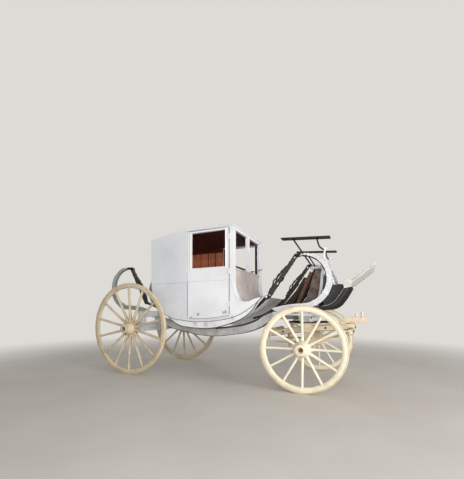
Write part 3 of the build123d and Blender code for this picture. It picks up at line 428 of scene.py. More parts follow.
def _new_material(name: str) -> tuple[bpy.types.Material, Net, bpy.types.Node]:
    """Start a material with its one surface shader.

    Args:
        name: The material's name.

    Returns:
        The material, its net and its surface shader.
    """
    material = bpy.data.materials.new(name)
    material.use_nodes = True
    return material, Net(material.node_tree), material.node_tree.nodes["Principled BSDF"]


@dataclass(frozen=True)
class Surface:
    """How uneven a finish is: its depth in metres, and how much of it shows."""

    depth: float
    strength: float

    def lay(self, net: Net, shader: bpy.types.Node, color: Socket, rough: Socket, height: Socket) -> None:
        """Feed a surface shader.

        Args:
            net: The material's net.
            shader: The surface shader.
            color: Its colour.
            rough: Its roughness.
            height: The height that makes it uneven.
        """
        feeds = {"Strength": self.strength, "Distance": self.depth, "Height": height}
        bump = net.node("ShaderNodeBump", feeds)
        net.feed(shader.inputs["Base Color"], color)
        net.feed(shader.inputs["Roughness"], rough)
        net.feed(shader.inputs["Normal"], bump.outputs["Normal"])


@dataclass(frozen=True)
class Paint:
    """A brushed coat of paint or primer with its wear, dirt and marks."""

    name: str
    paint: Seen
    shade: Seen
    bare: Seen
    dirt: Seen
    scale: float = 3.0
    mottle: float = 0.5
    chips: float = 0.3
    rub: float = 0.5
    grime: float = 0.4
    grime_top: float = 1.0
    roughness: float = 0.6
    surface: Surface = Surface(0.0006, 0.6)
    marks: tuple[tuple[float, float, float, float, float], ...] = ()

    def material(self) -> bpy.types.Material:
        """Build the finish's material.

        Returns:
            The material.
        """
        material, net, shader = _new_material(self.name)
        bare, dirt = srgb(*self.bare), srgb(*self.dirt)
        sizes = {"Scale": self.scale, "Mottle": self.mottle, "Chips": self.chips}
        coat = CHALK.use(net, Paint=srgb(*self.paint), Shade=srgb(*self.shade), Bare=bare, **sizes)
        color = RUB.use(net, Under=coat["Color"], Bare=bare, Reach=0.006, Amount=self.rub)["Color"]
        for x, y, z, reach, amount in self.marks:
            mark = SMUDGE.use(net, Under=color, Mark=dirt, Middle=(x, y, z), Reach=reach, Amount=amount)
            color = mark["Color"]
        dirty = GRIME.use(net, Under=color, Dirt=dirt, Amount=self.grime, Top=self.grime_top)
        rough = net.math("ADD", self.roughness, net.times(coat["Chipped"], 0.2), clamp=True)
        self.surface.lay(net, shader, dirty["Color"], rough, coat["Height"])
        return material


@dataclass(frozen=True)
class Timber:
    """Bare or stained timber with grain and dust."""

    name: str
    light: Seen
    dark: Seen
    stretch: Place
    dirt: Seen
    grime: float = 0.3
    grime_top: float = 0.9
    rub: float = 0.3
    roughness: float = 0.72
    surface: Surface = Surface(0.0008, 0.7)

    def material(self) -> bpy.types.Material:
        """Build the finish's material.

        Returns:
            The material.
        """
        material, net, shader = _new_material(self.name)
        light = srgb(*self.light)
        wood = GRAIN.use(net, Light=light, Dark=srgb(*self.dark), Stretch=self.stretch)
        color = RUB.use(net, Under=wood["Color"], Bare=light, Reach=0.005, Amount=self.rub)["Color"]
        dirty = GRIME.use(net, Under=color, Dirt=srgb(*self.dirt), Amount=self.grime, Top=self.grime_top)
        shader.inputs["Specular IOR Level"].default_value = 0.2
        rough = net.math("SUBTRACT", self.roughness + 0.08, net.times(wood["Height"], 0.15))
        self.surface.lay(net, shader, dirty["Color"], rough, wood["Height"])
        return material


@dataclass(frozen=True)
class Iron:
    """Forged iron, painted or bare, with bloom and rubbed edges."""

    name: str
    tone: Seen
    bloom: Seen
    bright: Seen
    bloom_amount: float = 0.35
    rub: float = 0.6
    roughness: float = 0.5
    metallic: float = 0.7
    dirt: Seen = (132, 116, 92)
    surface: Surface = Surface(0.0005, 0.7)

    def material(self) -> bpy.types.Material:
        """Build the finish's material.

        Returns:
            The material.
        """
        material, net, shader = _new_material(self.name)
        bloom = srgb(*self.bloom)
        sizes = {"Scale": 9.0, "Mottle": self.bloom_amount, "Chips": self.bloom_amount}
        coat = CHALK.use(net, Paint=srgb(*self.tone), Shade=bloom, Bare=bloom, **sizes)
        worn = RUB.use(net, Under=coat["Color"], Bare=srgb(*self.bright), Reach=0.003, Amount=self.rub)
        dirty = GRIME.use(net, Under=worn["Color"], Dirt=srgb(*self.dirt), Amount=0.3, Top=0.7)
        shader.inputs["Metallic"].default_value = self.metallic
        rough = net.math("ADD", self.roughness, net.times(coat["Chipped"], 0.3), clamp=True)
        self.surface.lay(net, shader, dirty["Color"], rough, coat["Height"])
        return material


@dataclass(frozen=True)
class Leather:
    """Old harness leather, dark, creased and dusty."""

    name: str
    hide: Seen
    worn: Seen
    roughness: float = 0.5
    dirt: Seen = (120, 108, 92)
    surface: Surface = Surface(0.0007, 0.6)

    def material(self) -> bpy.types.Material:
        """Build the finish's material.

        Returns:
            The material.
        """
        material, net, shader = _new_material(self.name)
        bare = srgb(*self.worn)
        crease = CRACKS.use(net, Scale=220.0)
        base = net.blend(crease["Crease"], srgb(*self.hide), bare)
        worn = RUB.use(net, Under=base, Bare=bare, Reach=0.004, Amount=0.7)
        dirty = GRIME.use(net, Under=worn["Color"], Dirt=srgb(*self.dirt), Amount=0.35, Top=0.6)
        rough = net.math("ADD", self.roughness, net.times(worn["Rubbed"], 0.25), clamp=True)
        self.surface.lay(net, shader, dirty["Color"], rough, crease["Height"])
        return material


PRIMER_DIRT = (112, 104, 96)
DOOR_MARKS = (
    # place, reach, strength
    (-0.203, -0.586, 0.878, 0.030, 0.80),
    (0.180, -0.586, 0.900, 0.030, 0.60),
    (0.210, -0.586, 0.912, 0.032, 0.65),
    (-0.319, -0.586, 0.830, 0.020, 0.70),
    (-0.084, -0.586, 0.740, 0.050, 0.40),
    (-0.252, -0.586, 0.774, 0.060, 0.35),
    (0.310, -0.586, 0.836, 0.040, 0.35),
    (0.150, 0.586, 0.880, 0.040, 0.60),
)


class Finish(Enum):
    """Every finish on the carriage."""

    BODY_WHITE = Paint(
        "body white primer", (236, 236, 238), (216, 217, 221), (190, 180, 170), PRIMER_DIRT, scale=2.2,
        mottle=0.55, chips=0.08, rub=0.35, grime=0.5, grime_top=0.98, roughness=0.62, marks=DOOR_MARKS
    )
    # Partly painted shade: the front panel's white primer is written greyer for the lesser light on its
    # forward face; its warm tint is its own.
    BODY_GREY = Paint(
        "lower panel shaded grey", (206, 197, 193), (188, 174, 164), (140, 112, 92), (104, 84, 66), scale=4.0,
        mottle=0.8, chips=0.35, rub=0.5, grime=0.35, grime_top=1.2, roughness=0.7
    )
    # Painted light: the underside's paint is written near white so that it shows as lit although it faces
    # down into shade.
    UNDERSIDE = Paint(
        "underside grey brown", (240, 242, 248), (208, 198, 192), (142, 112, 90), (118, 102, 88),
        scale=5.0, mottle=0.8, chips=0.4, grime=0.4, roughness=0.75,
        marks=((0.690, -0.380, 1.050, 0.110, 0.45), (0.330, -0.450, 0.800, 0.090, 0.40))
    )
    WHEEL_CREAM = Paint(
        "front wheel cream", (236, 227, 203), (221, 208, 178), (176, 150, 112), (150, 126, 92),
        scale=6.0, mottle=0.6, chips=0.3, rub=0.7, grime=0.42, grime_top=0.5, roughness=0.5
    )
    WHEEL_FAWN = Paint(
        "rear wheel fawn", (207, 192, 163), (180, 161, 132), (132, 104, 74), (108, 86, 60), scale=6.0,
        mottle=0.7, chips=0.35, rub=0.7, grime=0.5, grime_top=0.6, roughness=0.55
    )
    GEAR_CREAM = Paint(
        "fore carriage cream", (224, 208, 180), (196, 176, 146), (126, 98, 68), (100, 82, 62),
        scale=7.0, mottle=0.8, chips=0.5, rub=0.9, grime=0.5, grime_top=0.8, roughness=0.6
    )
    GEAR_GREY = Paint(
        "perch grey", (224, 227, 230), (184, 180, 175), (122, 108, 94), (104, 92, 80), scale=4.4,
        mottle=0.9, chips=0.42, rub=0.8, grime=0.5, grime_top=0.9, roughness=0.65
    )
    SPRING_WHITE = Paint(
        "spring white", (224, 225, 228), (202, 203, 205), (140, 134, 126), (112, 104, 94), scale=3.6,
        mottle=0.45, chips=0.1, rub=0.5, grime=0.4, grime_top=1.1, roughness=0.5
    )
    TYRE_DUSTY = Paint(
        "dusty painted tyre", (214, 200, 170), (184, 164, 130), (118, 98, 76), (128, 108, 80),
        scale=8.0, mottle=0.7, chips=0.35, rub=0.5, grime=0.4, grime_top=0.5, roughness=0.6
    )
    SPRING_GREY = Paint(
        "rear spring grey", (170, 175, 174), (134, 138, 138), (84, 80, 76), (88, 82, 74), scale=4.0,
        mottle=0.5, chips=0.15, rub=0.6, grime=0.3, grime_top=1.1, roughness=0.5
    )
    EDGE_LINE = Paint(
        "grey edge line", (142, 144, 150), (112, 108, 106), (196, 192, 186), (84, 72, 60), scale=7.0,
        mottle=0.7, chips=0.3, rub=0.3, grime=0.2, roughness=0.6
    )
    # Painted shade: the quarters, back and roof take a greyer, bluer copy of the body's white primer, for the
    # light falling off towards the rear.
    QUARTER_WHITE = Paint(
        "quarter white", (218, 220, 225), (200, 203, 209), (190, 180, 170), PRIMER_DIRT, 2.2, 0.6, 0.08,
        0.35
    )
    BEAD_WHITE = Paint(
        "bead white", (248, 248, 247), (236, 234, 232), (206, 186, 166), PRIMER_DIRT, 4.0, 0.4, 0.1
    )
    # Painted shade: a dark grey laid in gaps, grooves, recesses and along edges where shade falls.
    SEAM = Paint(
        "seam shadow grey", (74, 71, 69), (50, 47, 44), (110, 102, 94), (70, 60, 50), scale=6.0,
        chips=0.1, roughness=0.8
    )
    DOOR_LINING = Timber(
        "dark door lining", (74, 44, 32), (38, 22, 16), (28.0, 28.0, 2.2), (52, 40, 32)
    )
    BOOT_DARK = Timber(
        "dark boot planks", (50, 40, 35), (24, 19, 16), (3.0, 30.0, 3.0), (84, 74, 64), 0.3, 1.1
    )
    BOOT_ORANGE = Timber(
        "orange brown slat", (116, 84, 64), (66, 47, 37), (3.0, 36.0, 3.0), (110, 92, 76), 0.3, 1.2
    )
    BOOT_SIDE = Timber(
        "boot side boards", (130, 114, 107), (62, 51, 47), (2.0, 12.0, 2.0), (112, 102, 92), 0.4, 1.2
    )
    BLACK_IRON = Iron("black iron", (18, 18, 19), (50, 42, 36), (96, 94, 92), 0.25, 0.6, 0.46, 0.4)
    BRIGHT_IRON = Iron(
        "bright iron", (196, 192, 184), (134, 112, 88), (236, 234, 228), 0.3, 0.6, 0.3, 0.9
    )
    RUSTY_IRON = Iron("rusty iron", (96, 74, 58), (122, 74, 44), (150, 140, 128), 0.7, 0.5, 0.68, 0.4)
    STRAP = Leather("brace leather", (34, 31, 29), (86, 76, 66))
    LINING = Timber(
        "red brown lining boards", (238, 156, 116), (146, 80, 50), (14.0, 14.0, 1.2), (60, 40, 30),
        grime=0.2, grime_top=1.5
    )
    CEILING = Timber(
        "dark ceiling boards", (112, 52, 50), (46, 22, 20), (26.0, 2.0, 26.0), (30, 22, 18)
    )
    FLOOR_WOOD = Timber("floor boards", (150, 118, 86), (92, 62, 42), (26.0, 2.2, 26.0), (110, 96, 80))
    BOOT_WOOD = Timber(
        "boot slats", (60, 50, 46), (26, 20, 17), (3.0, 36.0, 3.0), (116, 104, 92), 0.4, 1.2
    )
    TOE_WOOD = Timber(
        "toe board wood", (228, 228, 221), (188, 187, 180), (2.0, 12.0, 2.0), (110, 104, 92), 0.35, 1.3,
        surface=Surface(0.00005, 0.7)
    )
    FOOT_DARK = Timber(
        "footboard black", (12, 11, 11), (4, 4, 4), (3.0, 30.0, 3.0), (40, 36, 33), 0.2, 1.0, 0.1
    )
    CHEEK_GREEN = Paint(
        "cheek dark green", (28, 36, 34), (44, 36, 38), (150, 140, 136), (84, 74, 68), scale=3.6,
        mottle=1.0, chips=0.55, grime=0.3, grime_top=1.2, roughness=0.75
    )

    def material(self) -> bpy.types.Material:
        """Give the finish's material, made at its first use."""
        made = bpy.data.materials.get(self.value.name)
        return made if made is not None else self.value.material()


def arc(centre: Point, radius: float, start: float, turn: float, steps: int) -> list[Point]:
    """List points along an arc, whose start and turn are in degrees."""
    angles = [math.radians(start + turn * step / steps) for step in range(steps + 1)]
    return [(centre[0] + radius * math.cos(a), centre[1] + radius * math.sin(a)) for a in angles]


def through(first: Point, middle: Point, last: Point, steps: int) -> list[Point]:
    """List points along the arc through three points.

    Args:
        first: Where the arc starts.
        middle: A point that it passes.
        last: Where it ends.
        steps: How many steps it takes.

    Returns:
        The points, both ends among them.
    """
    (ax, az), (bx, bz), (cx, cz) = first, middle, last
    cross = 2 * (ax * (bz - cz) + bx * (cz - az) + cx * (az - bz))
    sa, sb, sc = ax * ax + az * az, bx * bx + bz * bz, cx * cx + cz * cz
    ux = (sa * (bz - cz) + sb * (cz - az) + sc * (az - bz)) / cross
    uz = (sa * (cx - bx) + sb * (ax - cx) + sc * (bx - ax)) / cross
    start, via, end = (math.atan2(z - uz, x - ux) for x, z in (first, middle, last))
    full = 2 * math.pi
    turn = (end - start) % full
    if (via - start) % full > turn:
        turn -= full
    return arc((ux, uz), math.hypot(ax - ux, az - uz), math.degrees(start), math.degrees(turn), steps)


def arcs(run: Sequence[Point]) -> list[Arc]:
    """Split a run of joints with a middle point between each two into its arcs."""
    return [tuple(run[number : number + 3]) for number in range(0, len(run) - 2, 2)]


def rounded_strip(thickness: float, width: float, corner: float) -> list[Point]:
    """Give the section of a flat bar with rounded corners.

    Args:
        thickness: The bar's thickness.
        width: Its width.
        corner: The corners' radius.

    Returns:
        The section's points.
    """
    half, wide = thickness / 2, width / 2
    corner = min(corner, half * 0.95)
    points = []
    for a, b, start in ((1, 1, 0), (-1, 1, 90), (-1, -1, 180), (1, -1, 270)):
        points += arc((a * (half - corner), b * (wide - corner)), corner, start, 90, 2)
    return points


def plain_ring(radii: Span, low: float, high: float) -> list[Point]:
    """Give the section of a plain ring between two radii and two places along its axis."""
    inner, outer = radii
    return [(inner, low), (outer, low), (outer, high), (inner, high)]


def polar(reach: float, angle: float, level: float = 0.0) -> Vector:
    """Give the place at a distance from the third axis, round it and along it."""
    return Vector((reach * math.cos(angle), reach * math.sin(angle), level))


def half_circle(centre: Vector, along: Vector, across: Vector, radius: float, start: float) -> list[Vector]:
    """List nine places on a half circle that starts at an angle from `along`, in degrees."""
    turns = [math.radians(start + 180 * step / 8) for step in range(9)]
    return [centre + (along * math.cos(turn) + across * math.sin(turn)) * radius for turn in turns]


def flat(spots: Sequence[Vector]) -> list[Point]:
    """Give the X and Z of some places."""
    return [(spot.x, spot.z) for spot in spots]


def base_of(first: Vector, second: Vector, third: Vector, place: Vector) -> Matrix:
    """Give the base with three axes at a place."""
    return Matrix.Translation(place) @ Matrix((first, second, third)).transposed().to_4x4()


def crosswise(place: Vector) -> Matrix:
    """Give the base of something turned about the carriage's Y."""
    return base_of(Vector((1, 0, 0)), Vector((0, 0, -1)), ACROSS, place)


def axis_at(place: Vector, axis: Vector) -> Matrix:
    """Give the base of something turned about an axis, which becomes its third one."""
    return Matrix.Translation(place) @ axis.to_track_quat("Z", "Y").to_matrix().to_4x4()


def alongside(route: Sequence[Point], away: float) -> list[Point]:
    """Give the line that runs beside another one.

    Args:
        route: The points of the first line.
        away: How far to the right of the way along it.

    Returns:
        The points of the second line.
    """
    moved = []
    for number, (x, z) in enumerate(route):
        first, last = route[max(number - 1, 0)], route[min(number + 1, len(route) - 1)]
        way = Vector((last[0] - first[0], last[1] - first[1])).normalized()
        moved.append((x + way.y * away, z - way.x * away))
    return moved


def round_edges(piece: bpy.types.Object, width: float, angle: float) -> None:
    """Round the sharp edges of a piece.

    Args:
        piece: The piece.
        width: How wide the rounding is.
        angle: The smallest turn that is rounded, in degrees.
    """
    rounding = piece.modifiers.new("rounding", "BEVEL")
    rounding.width = width
    rounding.segments = 2
    rounding.limit_method = "ANGLE"
    rounding.angle_limit = math.radians(angle)
    rounding.harden_normals = True


@dataclass
class Shape:
    """A mesh that is being built, and how it is finished as a piece."""

    name: str
    finish: Finish
    body: str = "carriage"
    bevel: float = 0.0
    mesh: bmesh.types.BMesh = field(default_factory=bmesh.new)

    def row(self, spots: Sequence[Vector]) -> list[bmesh.types.BMVert]:
        """Add a row of points."""
        return [self.mesh.verts.new(spot) for spot in spots]

    def skin(self, rows: list[list[bmesh.types.BMVert]], closed: bool = False) -> None:
        """Join rows of points into a skin.

        Args:
            rows: The rows, each as long as the others.
            closed: Whether the last row joins the first; otherwise both are capped.
        """
        count = len(rows[0])
        for number in range(len(rows) if closed else len(rows) - 1):
            here, after = rows[number], rows[(number + 1) % len(rows)]
            for step in range(count):
                following = (step + 1) % count
                self.mesh.faces.new((here[step], here[following], after[following], after[step]))
        if not closed:
            self.mesh.faces.new(list(reversed(rows[0])))
            self.mesh.faces.new(rows[-1])

    def prism(self, outline: Sequence[Point], low: float, high: float) -> None:
        """Add an outline of the XZ plane, drawn out from one Y to another."""
        self.skin([self.row([Vector((x, y, z)) for x, z in outline]) for y in (low, high)])

    def box(self, low: Sequence[float], high: Sequence[float], turn: Matrix = Matrix()) -> None:
        """Add a block.

        Args:
            low: Its lowest corner.
            high: Its highest corner.
            turn: How it is moved afterwards.
        """
        made = self.row([turn @ Vector(corner) for corner in product(*zip(low, high))])
        for ring in ((0, 1, 3, 2), (4, 6, 7, 5), (0, 4, 5, 1), (2, 3, 7, 6), (0, 2, 6, 4), (1, 5, 7, 3)):
            self.mesh.faces.new([made[number] for number in ring])

    def boards(self, low: Sequence[float], high: Sequence[float], count: int, axis: int, gap: float) -> None:
        """Add a row of boards that fill a block, with a gap between them.

        Args:
            low: The block's lowest corner.
            high: Its highest corner.
            count: How many boards there are.
            axis: The axis that they follow one another along.
            gap: The gap between two.
        """
        step = (high[axis] - low[axis]) / count
        for number in range(count):
            first, last = list(low), list(high)
            first[axis] = low[axis] + number * step + gap / 2
            last[axis] = low[axis] + (number + 1) * step - gap / 2
            self.box(first, last)

    def sweep(
        self, path: Sequence[Vector], section: Sequence[Point], side: Vector = ACROSS, closed: bool = False
    ) -> None:
        """Draw a section along a path.

        Args:
            path: The path's points.
            section: The section's points, across the path and along `side`.
            side: The direction that the section's second number runs in.
            closed: Whether the path ends where it starts.
        """
        rows = []
        count = len(path)
        for number, here in enumerate(path):
            before = path[(number - 1) % count] if closed or number else here
            after = path[(number + 1) % count] if closed or number < count - 1 else here
            along = (after - before).normalized()
            across = side.cross(along).normalized()
            level = along.cross(across).normalized()
            rows.append(self.row([here + across * a + level * b for a, b in section]))
        self.skin(rows, closed)

    def tube(self, path: Sequence[Vector], radius: float, sides: int = 12) -> None:
        """Add a round rod along a path.

        Args:
            path: The path's points.
            radius: The rod's radius.
            sides: How many sides it has.
        """
        rows = []
        along = (path[1] - path[0]).normalized()
        guide = UP if abs(along.z) < 0.9 else Vector((1, 0, 0))
        across = along.cross(guide).normalized()
        turns = [2 * math.pi * step / sides for step in range(sides)]
        for number, here in enumerate(path):
            along = (path[min(number + 1, len(path) - 1)] - path[max(number - 1, 0)]).normalized()
            across = (across - along * across.dot(along)).normalized()
            level = along.cross(across)
            ring = [here + (across * math.cos(turn) + level * math.sin(turn)) * radius for turn in turns]
            rows.append(self.row(ring))
        self.skin(rows)

    def lathe(self, base: Matrix, profile: Sequence[Point], steps: int, closed: bool = True) -> None:
        """Turn a profile about an axis.

        Args:
            base: The place and axes of the turning, with its third axis the one turned about.
            profile: Points as distance from the axis and place along it.
            steps: How many steps the full turn takes.
            closed: Whether the profile is a ring in itself; otherwise its ends are capped.
        """
        turns = [2 * math.pi * step / steps for step in range(steps)]
        rows = [self.row([base @ polar(reach, a, level) for reach, level in profile]) for a in turns]
        count = len(profile)
        for step, here in enumerate(rows):
            after = rows[(step + 1) % steps]
            for number in range(count if closed else count - 1):
                following = (number + 1) % count
                self.mesh.faces.new((here[number], after[number], after[following], here[following]))
        if not closed:
            self.mesh.faces.new([row[0] for row in rows])
            self.mesh.faces.new([row[-1] for row in reversed(rows)])

    def stud(self, base: Matrix, profile: Sequence[Point], steps: int) -> None:
        """Turn a profile whose ends are capped."""
        self.lathe(base, profile, steps, closed=False)

    def bolt(self, place: Vector, axis: Vector, radius: float) -> None:
        """Add a washer with a nut on it, and the bolt's end.

        Args:
            place: Where it sits.
            axis: The way that it stands out.
            radius: The nut's radius.
        """
        base = axis_at(place, axis)
        self.stud(base, [(radius * 1.45, -0.002), (radius * 1.45, 0.0022)], 20)
        self.stud(base, [(radius, 0.0), (radius, radius * 0.7), (radius * 0.8, radius * 0.85)], 6)
        self.stud(base, [(radius * 0.5, 0.0), (radius * 0.5, radius * 1.15)], 12)

    def finished(self, *stands_for: str, smooth: float = 35.0) -> None:
        """Make the piece, let it ride on its body and hide the nodes that it stands for.

        Args:
            stands_for: The nodes that it replaces, if any.
            smooth: The sharpest turn that is shaded smooth, in degrees.
        """
        bmesh.ops.recalc_face_normals(self.mesh, faces=self.mesh.faces[:])
        data = bpy.data.meshes.new(self.name)
        self.mesh.to_mesh(data)
        self.mesh.free()
        data.materials.append(self.finish.material())
        piece = bpy.data.objects.new(self.name, data)
        bpy.context.scene.collection.objects.link(piece)
        data.shade_smooth()
        data.set_sharp_from_angle(angle=math.radians(smooth))
        if self.bevel:
            round_edges(piece, self.bevel, smooth)
        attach(piece, self.body)
        if stands_for:
            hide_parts(*stands_for)
        LOG.info("%s: %d faces on %s", self.name, len(data.polygons), self.body)


@dataclass
class CornerPiece:
    """What stands at one of the carriage's four corners."""

    end: End
    side: Side

    @property
    def corner(self) -> str:
        """Give the corner's name as the frame writes it."""
        return f"{self.end.word}_{self.side.word}"

    @property
    def front(self) -> bool:
        """Say whether the corner is a front one."""
        return self.end is End.FRONT


@dataclass
class WheelPiece(CornerPiece):
    """One wheel: turned nave with its bands, shaped spokes, felloes and iron tyre."""

    spokes: int
    dish: float = 0.038
    tyre: float = 0.014
    tyre_width: float = 0.044
    felloe_depth: float = 0.058
    felloe_width: float = 0.040
    felloe_gap: float = 0.0012
    bolt_shift: float = 0.055
    nave: float = 0.093
    nave_outer: float = 0.145
    nave_inner: float = 0.110
    socket: float = 0.042
    bore: float = 0.0272
    nut: float = 0.0225
    axle_end: float = 0.011
    foot: Span = (0.023, 0.018)
    tongue: Span = (0.016, 0.015)
    spoke_shape: tuple[Place, ...] = (
        # share of the way out, share of the full size there, squareness
        (0.0, 1.0, 1.0),
        (0.07, 1.0, 0.9),
        (0.14, 0.94, 0.5),
        (0.24, 0.91, 0.1),
        (0.55, 0.92, 0.0),
        (0.88, 0.94, 0.0),
        (0.95, 1.0, 0.2),
        (1.0, 1.02, 0.3),
    )
    bands: tuple[Place, ...] = (
        # place along the nave, radius, width
        (0.127, 0.0600, 0.026),
        (-0.096, 0.0755, 0.022),
    )

    def __post_init__(self) -> None:
        """Read the wheel's place and size from its node."""
        self.node = f"wheel_{self.corner}"
        self.body = f"{self.end.word}_wheel_{self.side.word}"
        self.finish = Finish.WHEEL_CREAM if self.front else Finish.WHEEL_FAWN
        low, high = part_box(f"tyre_{self.corner}")
        x, y, z = ((a + b) / 2 for a, b in zip(low, high))
        self.radius = (high[2] - low[2]) / 2
        self.inner = self.radius - self.tyre - self.felloe_depth
        out = self.side.spot(0, 1, 0)
        self.base = base_of(UP, out.cross(UP), out, Vector((x, y, z)) - out * self.dish)

    def build(self) -> None:
        """Build every piece of the wheel."""
        self._wood()
        self._iron_tyre()
        self._bands()
        self._bolts()
        self._nut()

    def _wood(self) -> None:
        """Build the nave, the spokes and the felloes in place of the plain wheel."""
        shape = Shape(f"{self.node}_wood", self.finish, self.body)
        bore, nave, inner, outer = self.bore, self.nave, -self.nave_inner, self.nave_outer
        profile = [(bore, inner), (0.070, inner), (0.075, inner + 0.004), (0.076, inner + 0.028)]
        profile += [(0.080, inner + 0.036), (0.087, -0.052), (nave - 0.001, -0.038), (nave, -0.032)]
        profile += [(nave, 0.032), (nave - 0.001, 0.038), (0.086, 0.052), (0.074, 0.080), (0.066, 0.096)]
        profile += [(0.061, 0.103), (0.060, 0.108), (0.060, outer - 0.004), (0.056, outer), (0.035, outer)]
        profile += [(0.035, outer - self.socket), (bore, outer - self.socket)]
        shape.lathe(self.base, profile, steps=40)
        for number in range(self.spokes):
            self._spoke(shape, 2 * math.pi * number / self.spokes)
        self._felloes(shape)
        shape.finished(self.node, smooth=50)

    def _spoke(self, shape: Shape, angle: float) -> None:
        """Add one spoke, square at its foot, waisted, and oval to its tongue.

        Args:
            shape: The mesh that it joins.
            angle: Where it stands round the wheel.
        """
        start, end = self.nave - 0.006, self.inner + 0.004
        around = Vector((-math.sin(angle), math.cos(angle), 0))
        rows = []
        for share, full, square in self.spoke_shape:
            thick, wide = [(a + (b - a) * share) * full for a, b in zip(self.foot, self.tongue)]
            middle = polar(1.0, angle) * (start + (end - start) * share) + UP * self.dish * share
            power = 1 - 0.55 * square
            ring = []
            for step in range(12):
                turn = 2 * math.pi * (step + 0.5) / 12
                c, s = math.cos(turn), math.sin(turn)
                a = math.copysign(abs(c) ** power, c) * thick
                b = math.copysign(abs(s) ** power, s) * wide
                ring.append(self.base @ (middle + UP * a + around * b))
            rows.append(shape.row(ring))
        shape.skin(rows)

    def _felloes(self, shape: Shape) -> None:
        """Add the felloes, each a bent timber over two spokes, with a fine joint between them.

        Args:
            shape: The mesh that they join.
        """
        inner, outer, half = self.inner, self.radius - self.tyre, self.felloe_width / 2
        section = [(outer, half - 0.002), (outer, -half + 0.002), (outer - 0.002, -half)]
        section += [(inner + 0.014, -half), (inner + 0.004, -half + 0.008), (inner, -half + 0.013)]
        section += [(inner, half - 0.013)]
        section += [(inner + 0.004, half - 0.008), (inner + 0.014, half), (outer - 0.002, half)]
        count = self.spokes // 2
        gap = self.felloe_gap / self.radius
        for number in range(count):
            first = 2 * math.pi * (number + 0.25) / count + gap / 2
            last = 2 * math.pi * (number + 1.25) / count - gap / 2
            rows = []
            for step in range(13):
                angle = first + (last - first) * step / 12
                trim = self.felloe_gap if step in (0, 12) else 0.0
                ring = []
                for reach, level in section:
                    trimmed = reach - math.copysign(trim, reach - inner - 0.02)
                    ring.append(self.base @ polar(trimmed, angle, self.dish + level * (1 - trim * 30)))
                rows.append(shape.row(ring))
            shape.skin(rows)

    def _iron_tyre(self) -> None:
        """Build the iron tyre with its rounded tread edges."""
        shape = Shape(f"tyre_{self.corner}_iron", Finish.TYRE_DUSTY, self.body)
        inner, outer, half = self.radius - self.tyre, self.radius, self.tyre_width / 2
        profile = [(inner, half), (outer - 0.006, half), (outer - 0.002, half - 0.002), (outer, half - 0.007)]
        profile += [(outer, -half + 0.007), (outer - 0.002, -half + 0.002), (outer - 0.006, -half)]
        profile += [(inner, -half)]
        shape.lathe(self.base @ Matrix.Translation((0, 0, self.dish)), profile, steps=96)
        shape.finished(f"tyre_{self.corner}", smooth=40)

    def _bands(self) -> None:
        """Build the nave's iron bands."""
        shape = Shape(f"{self.node}_bands", self.finish, self.body)
        for centre, radius, width in self.bands:
            low, high = centre - width / 2, centre + width / 2
            ring = [(radius - 0.001, low), (radius + 0.0025, low), (radius + 0.0035, low + 0.002)]
            ring += [(radius + 0.0035, high - 0.002), (radius + 0.0025, high), (radius - 0.001, high)]
            shape.lathe(self.base, ring, steps=40)
        shape.finished(smooth=40)

    def _bolts(self) -> None:
        """Build the bolts through the felloes, one to each side of a joint."""
        shape = Shape(f"{self.node}_bolts", Finish.TYRE_DUSTY, self.body)
        profile = [(0.0085, 0.0), (0.0085, 0.005), (0.0045, 0.0052), (0.0045, 0.009), (0.003, 0.0102)]
        count = self.spokes // 2
        for number in range(count):
            for shift in (-self.bolt_shift, self.bolt_shift):
                angle = 2 * math.pi * (number + 0.25) / count + shift / self.inner
                out, around = polar(1.0, angle), Vector((-math.sin(angle), math.cos(angle), 0))
                spot = base_of(around, UP, -out, out * (self.inner + 0.001) + UP * self.dish)
                shape.stud(self.base @ spot, profile, 8)
        shape.finished(smooth=30)

    def _nut(self) -> None:
        """Build the axle's nut and the axle's end."""
        body = "fore_carriage" if self.front else "carriage"
        nut = Shape(f"axle_nut_{self.corner}", Finish.RUSTY_IRON, body, bevel=0.0012)
        seat = self.nave_outer - self.socket + 0.006
        nut.stud(self.base, [(self.nut, seat), (self.nut, seat + 0.013)], 6)
        nut.stud(self.base, [(self.axle_end, seat + 0.013), (self.axle_end, seat + 0.02)], 16)
        nut.finished(smooth=30)


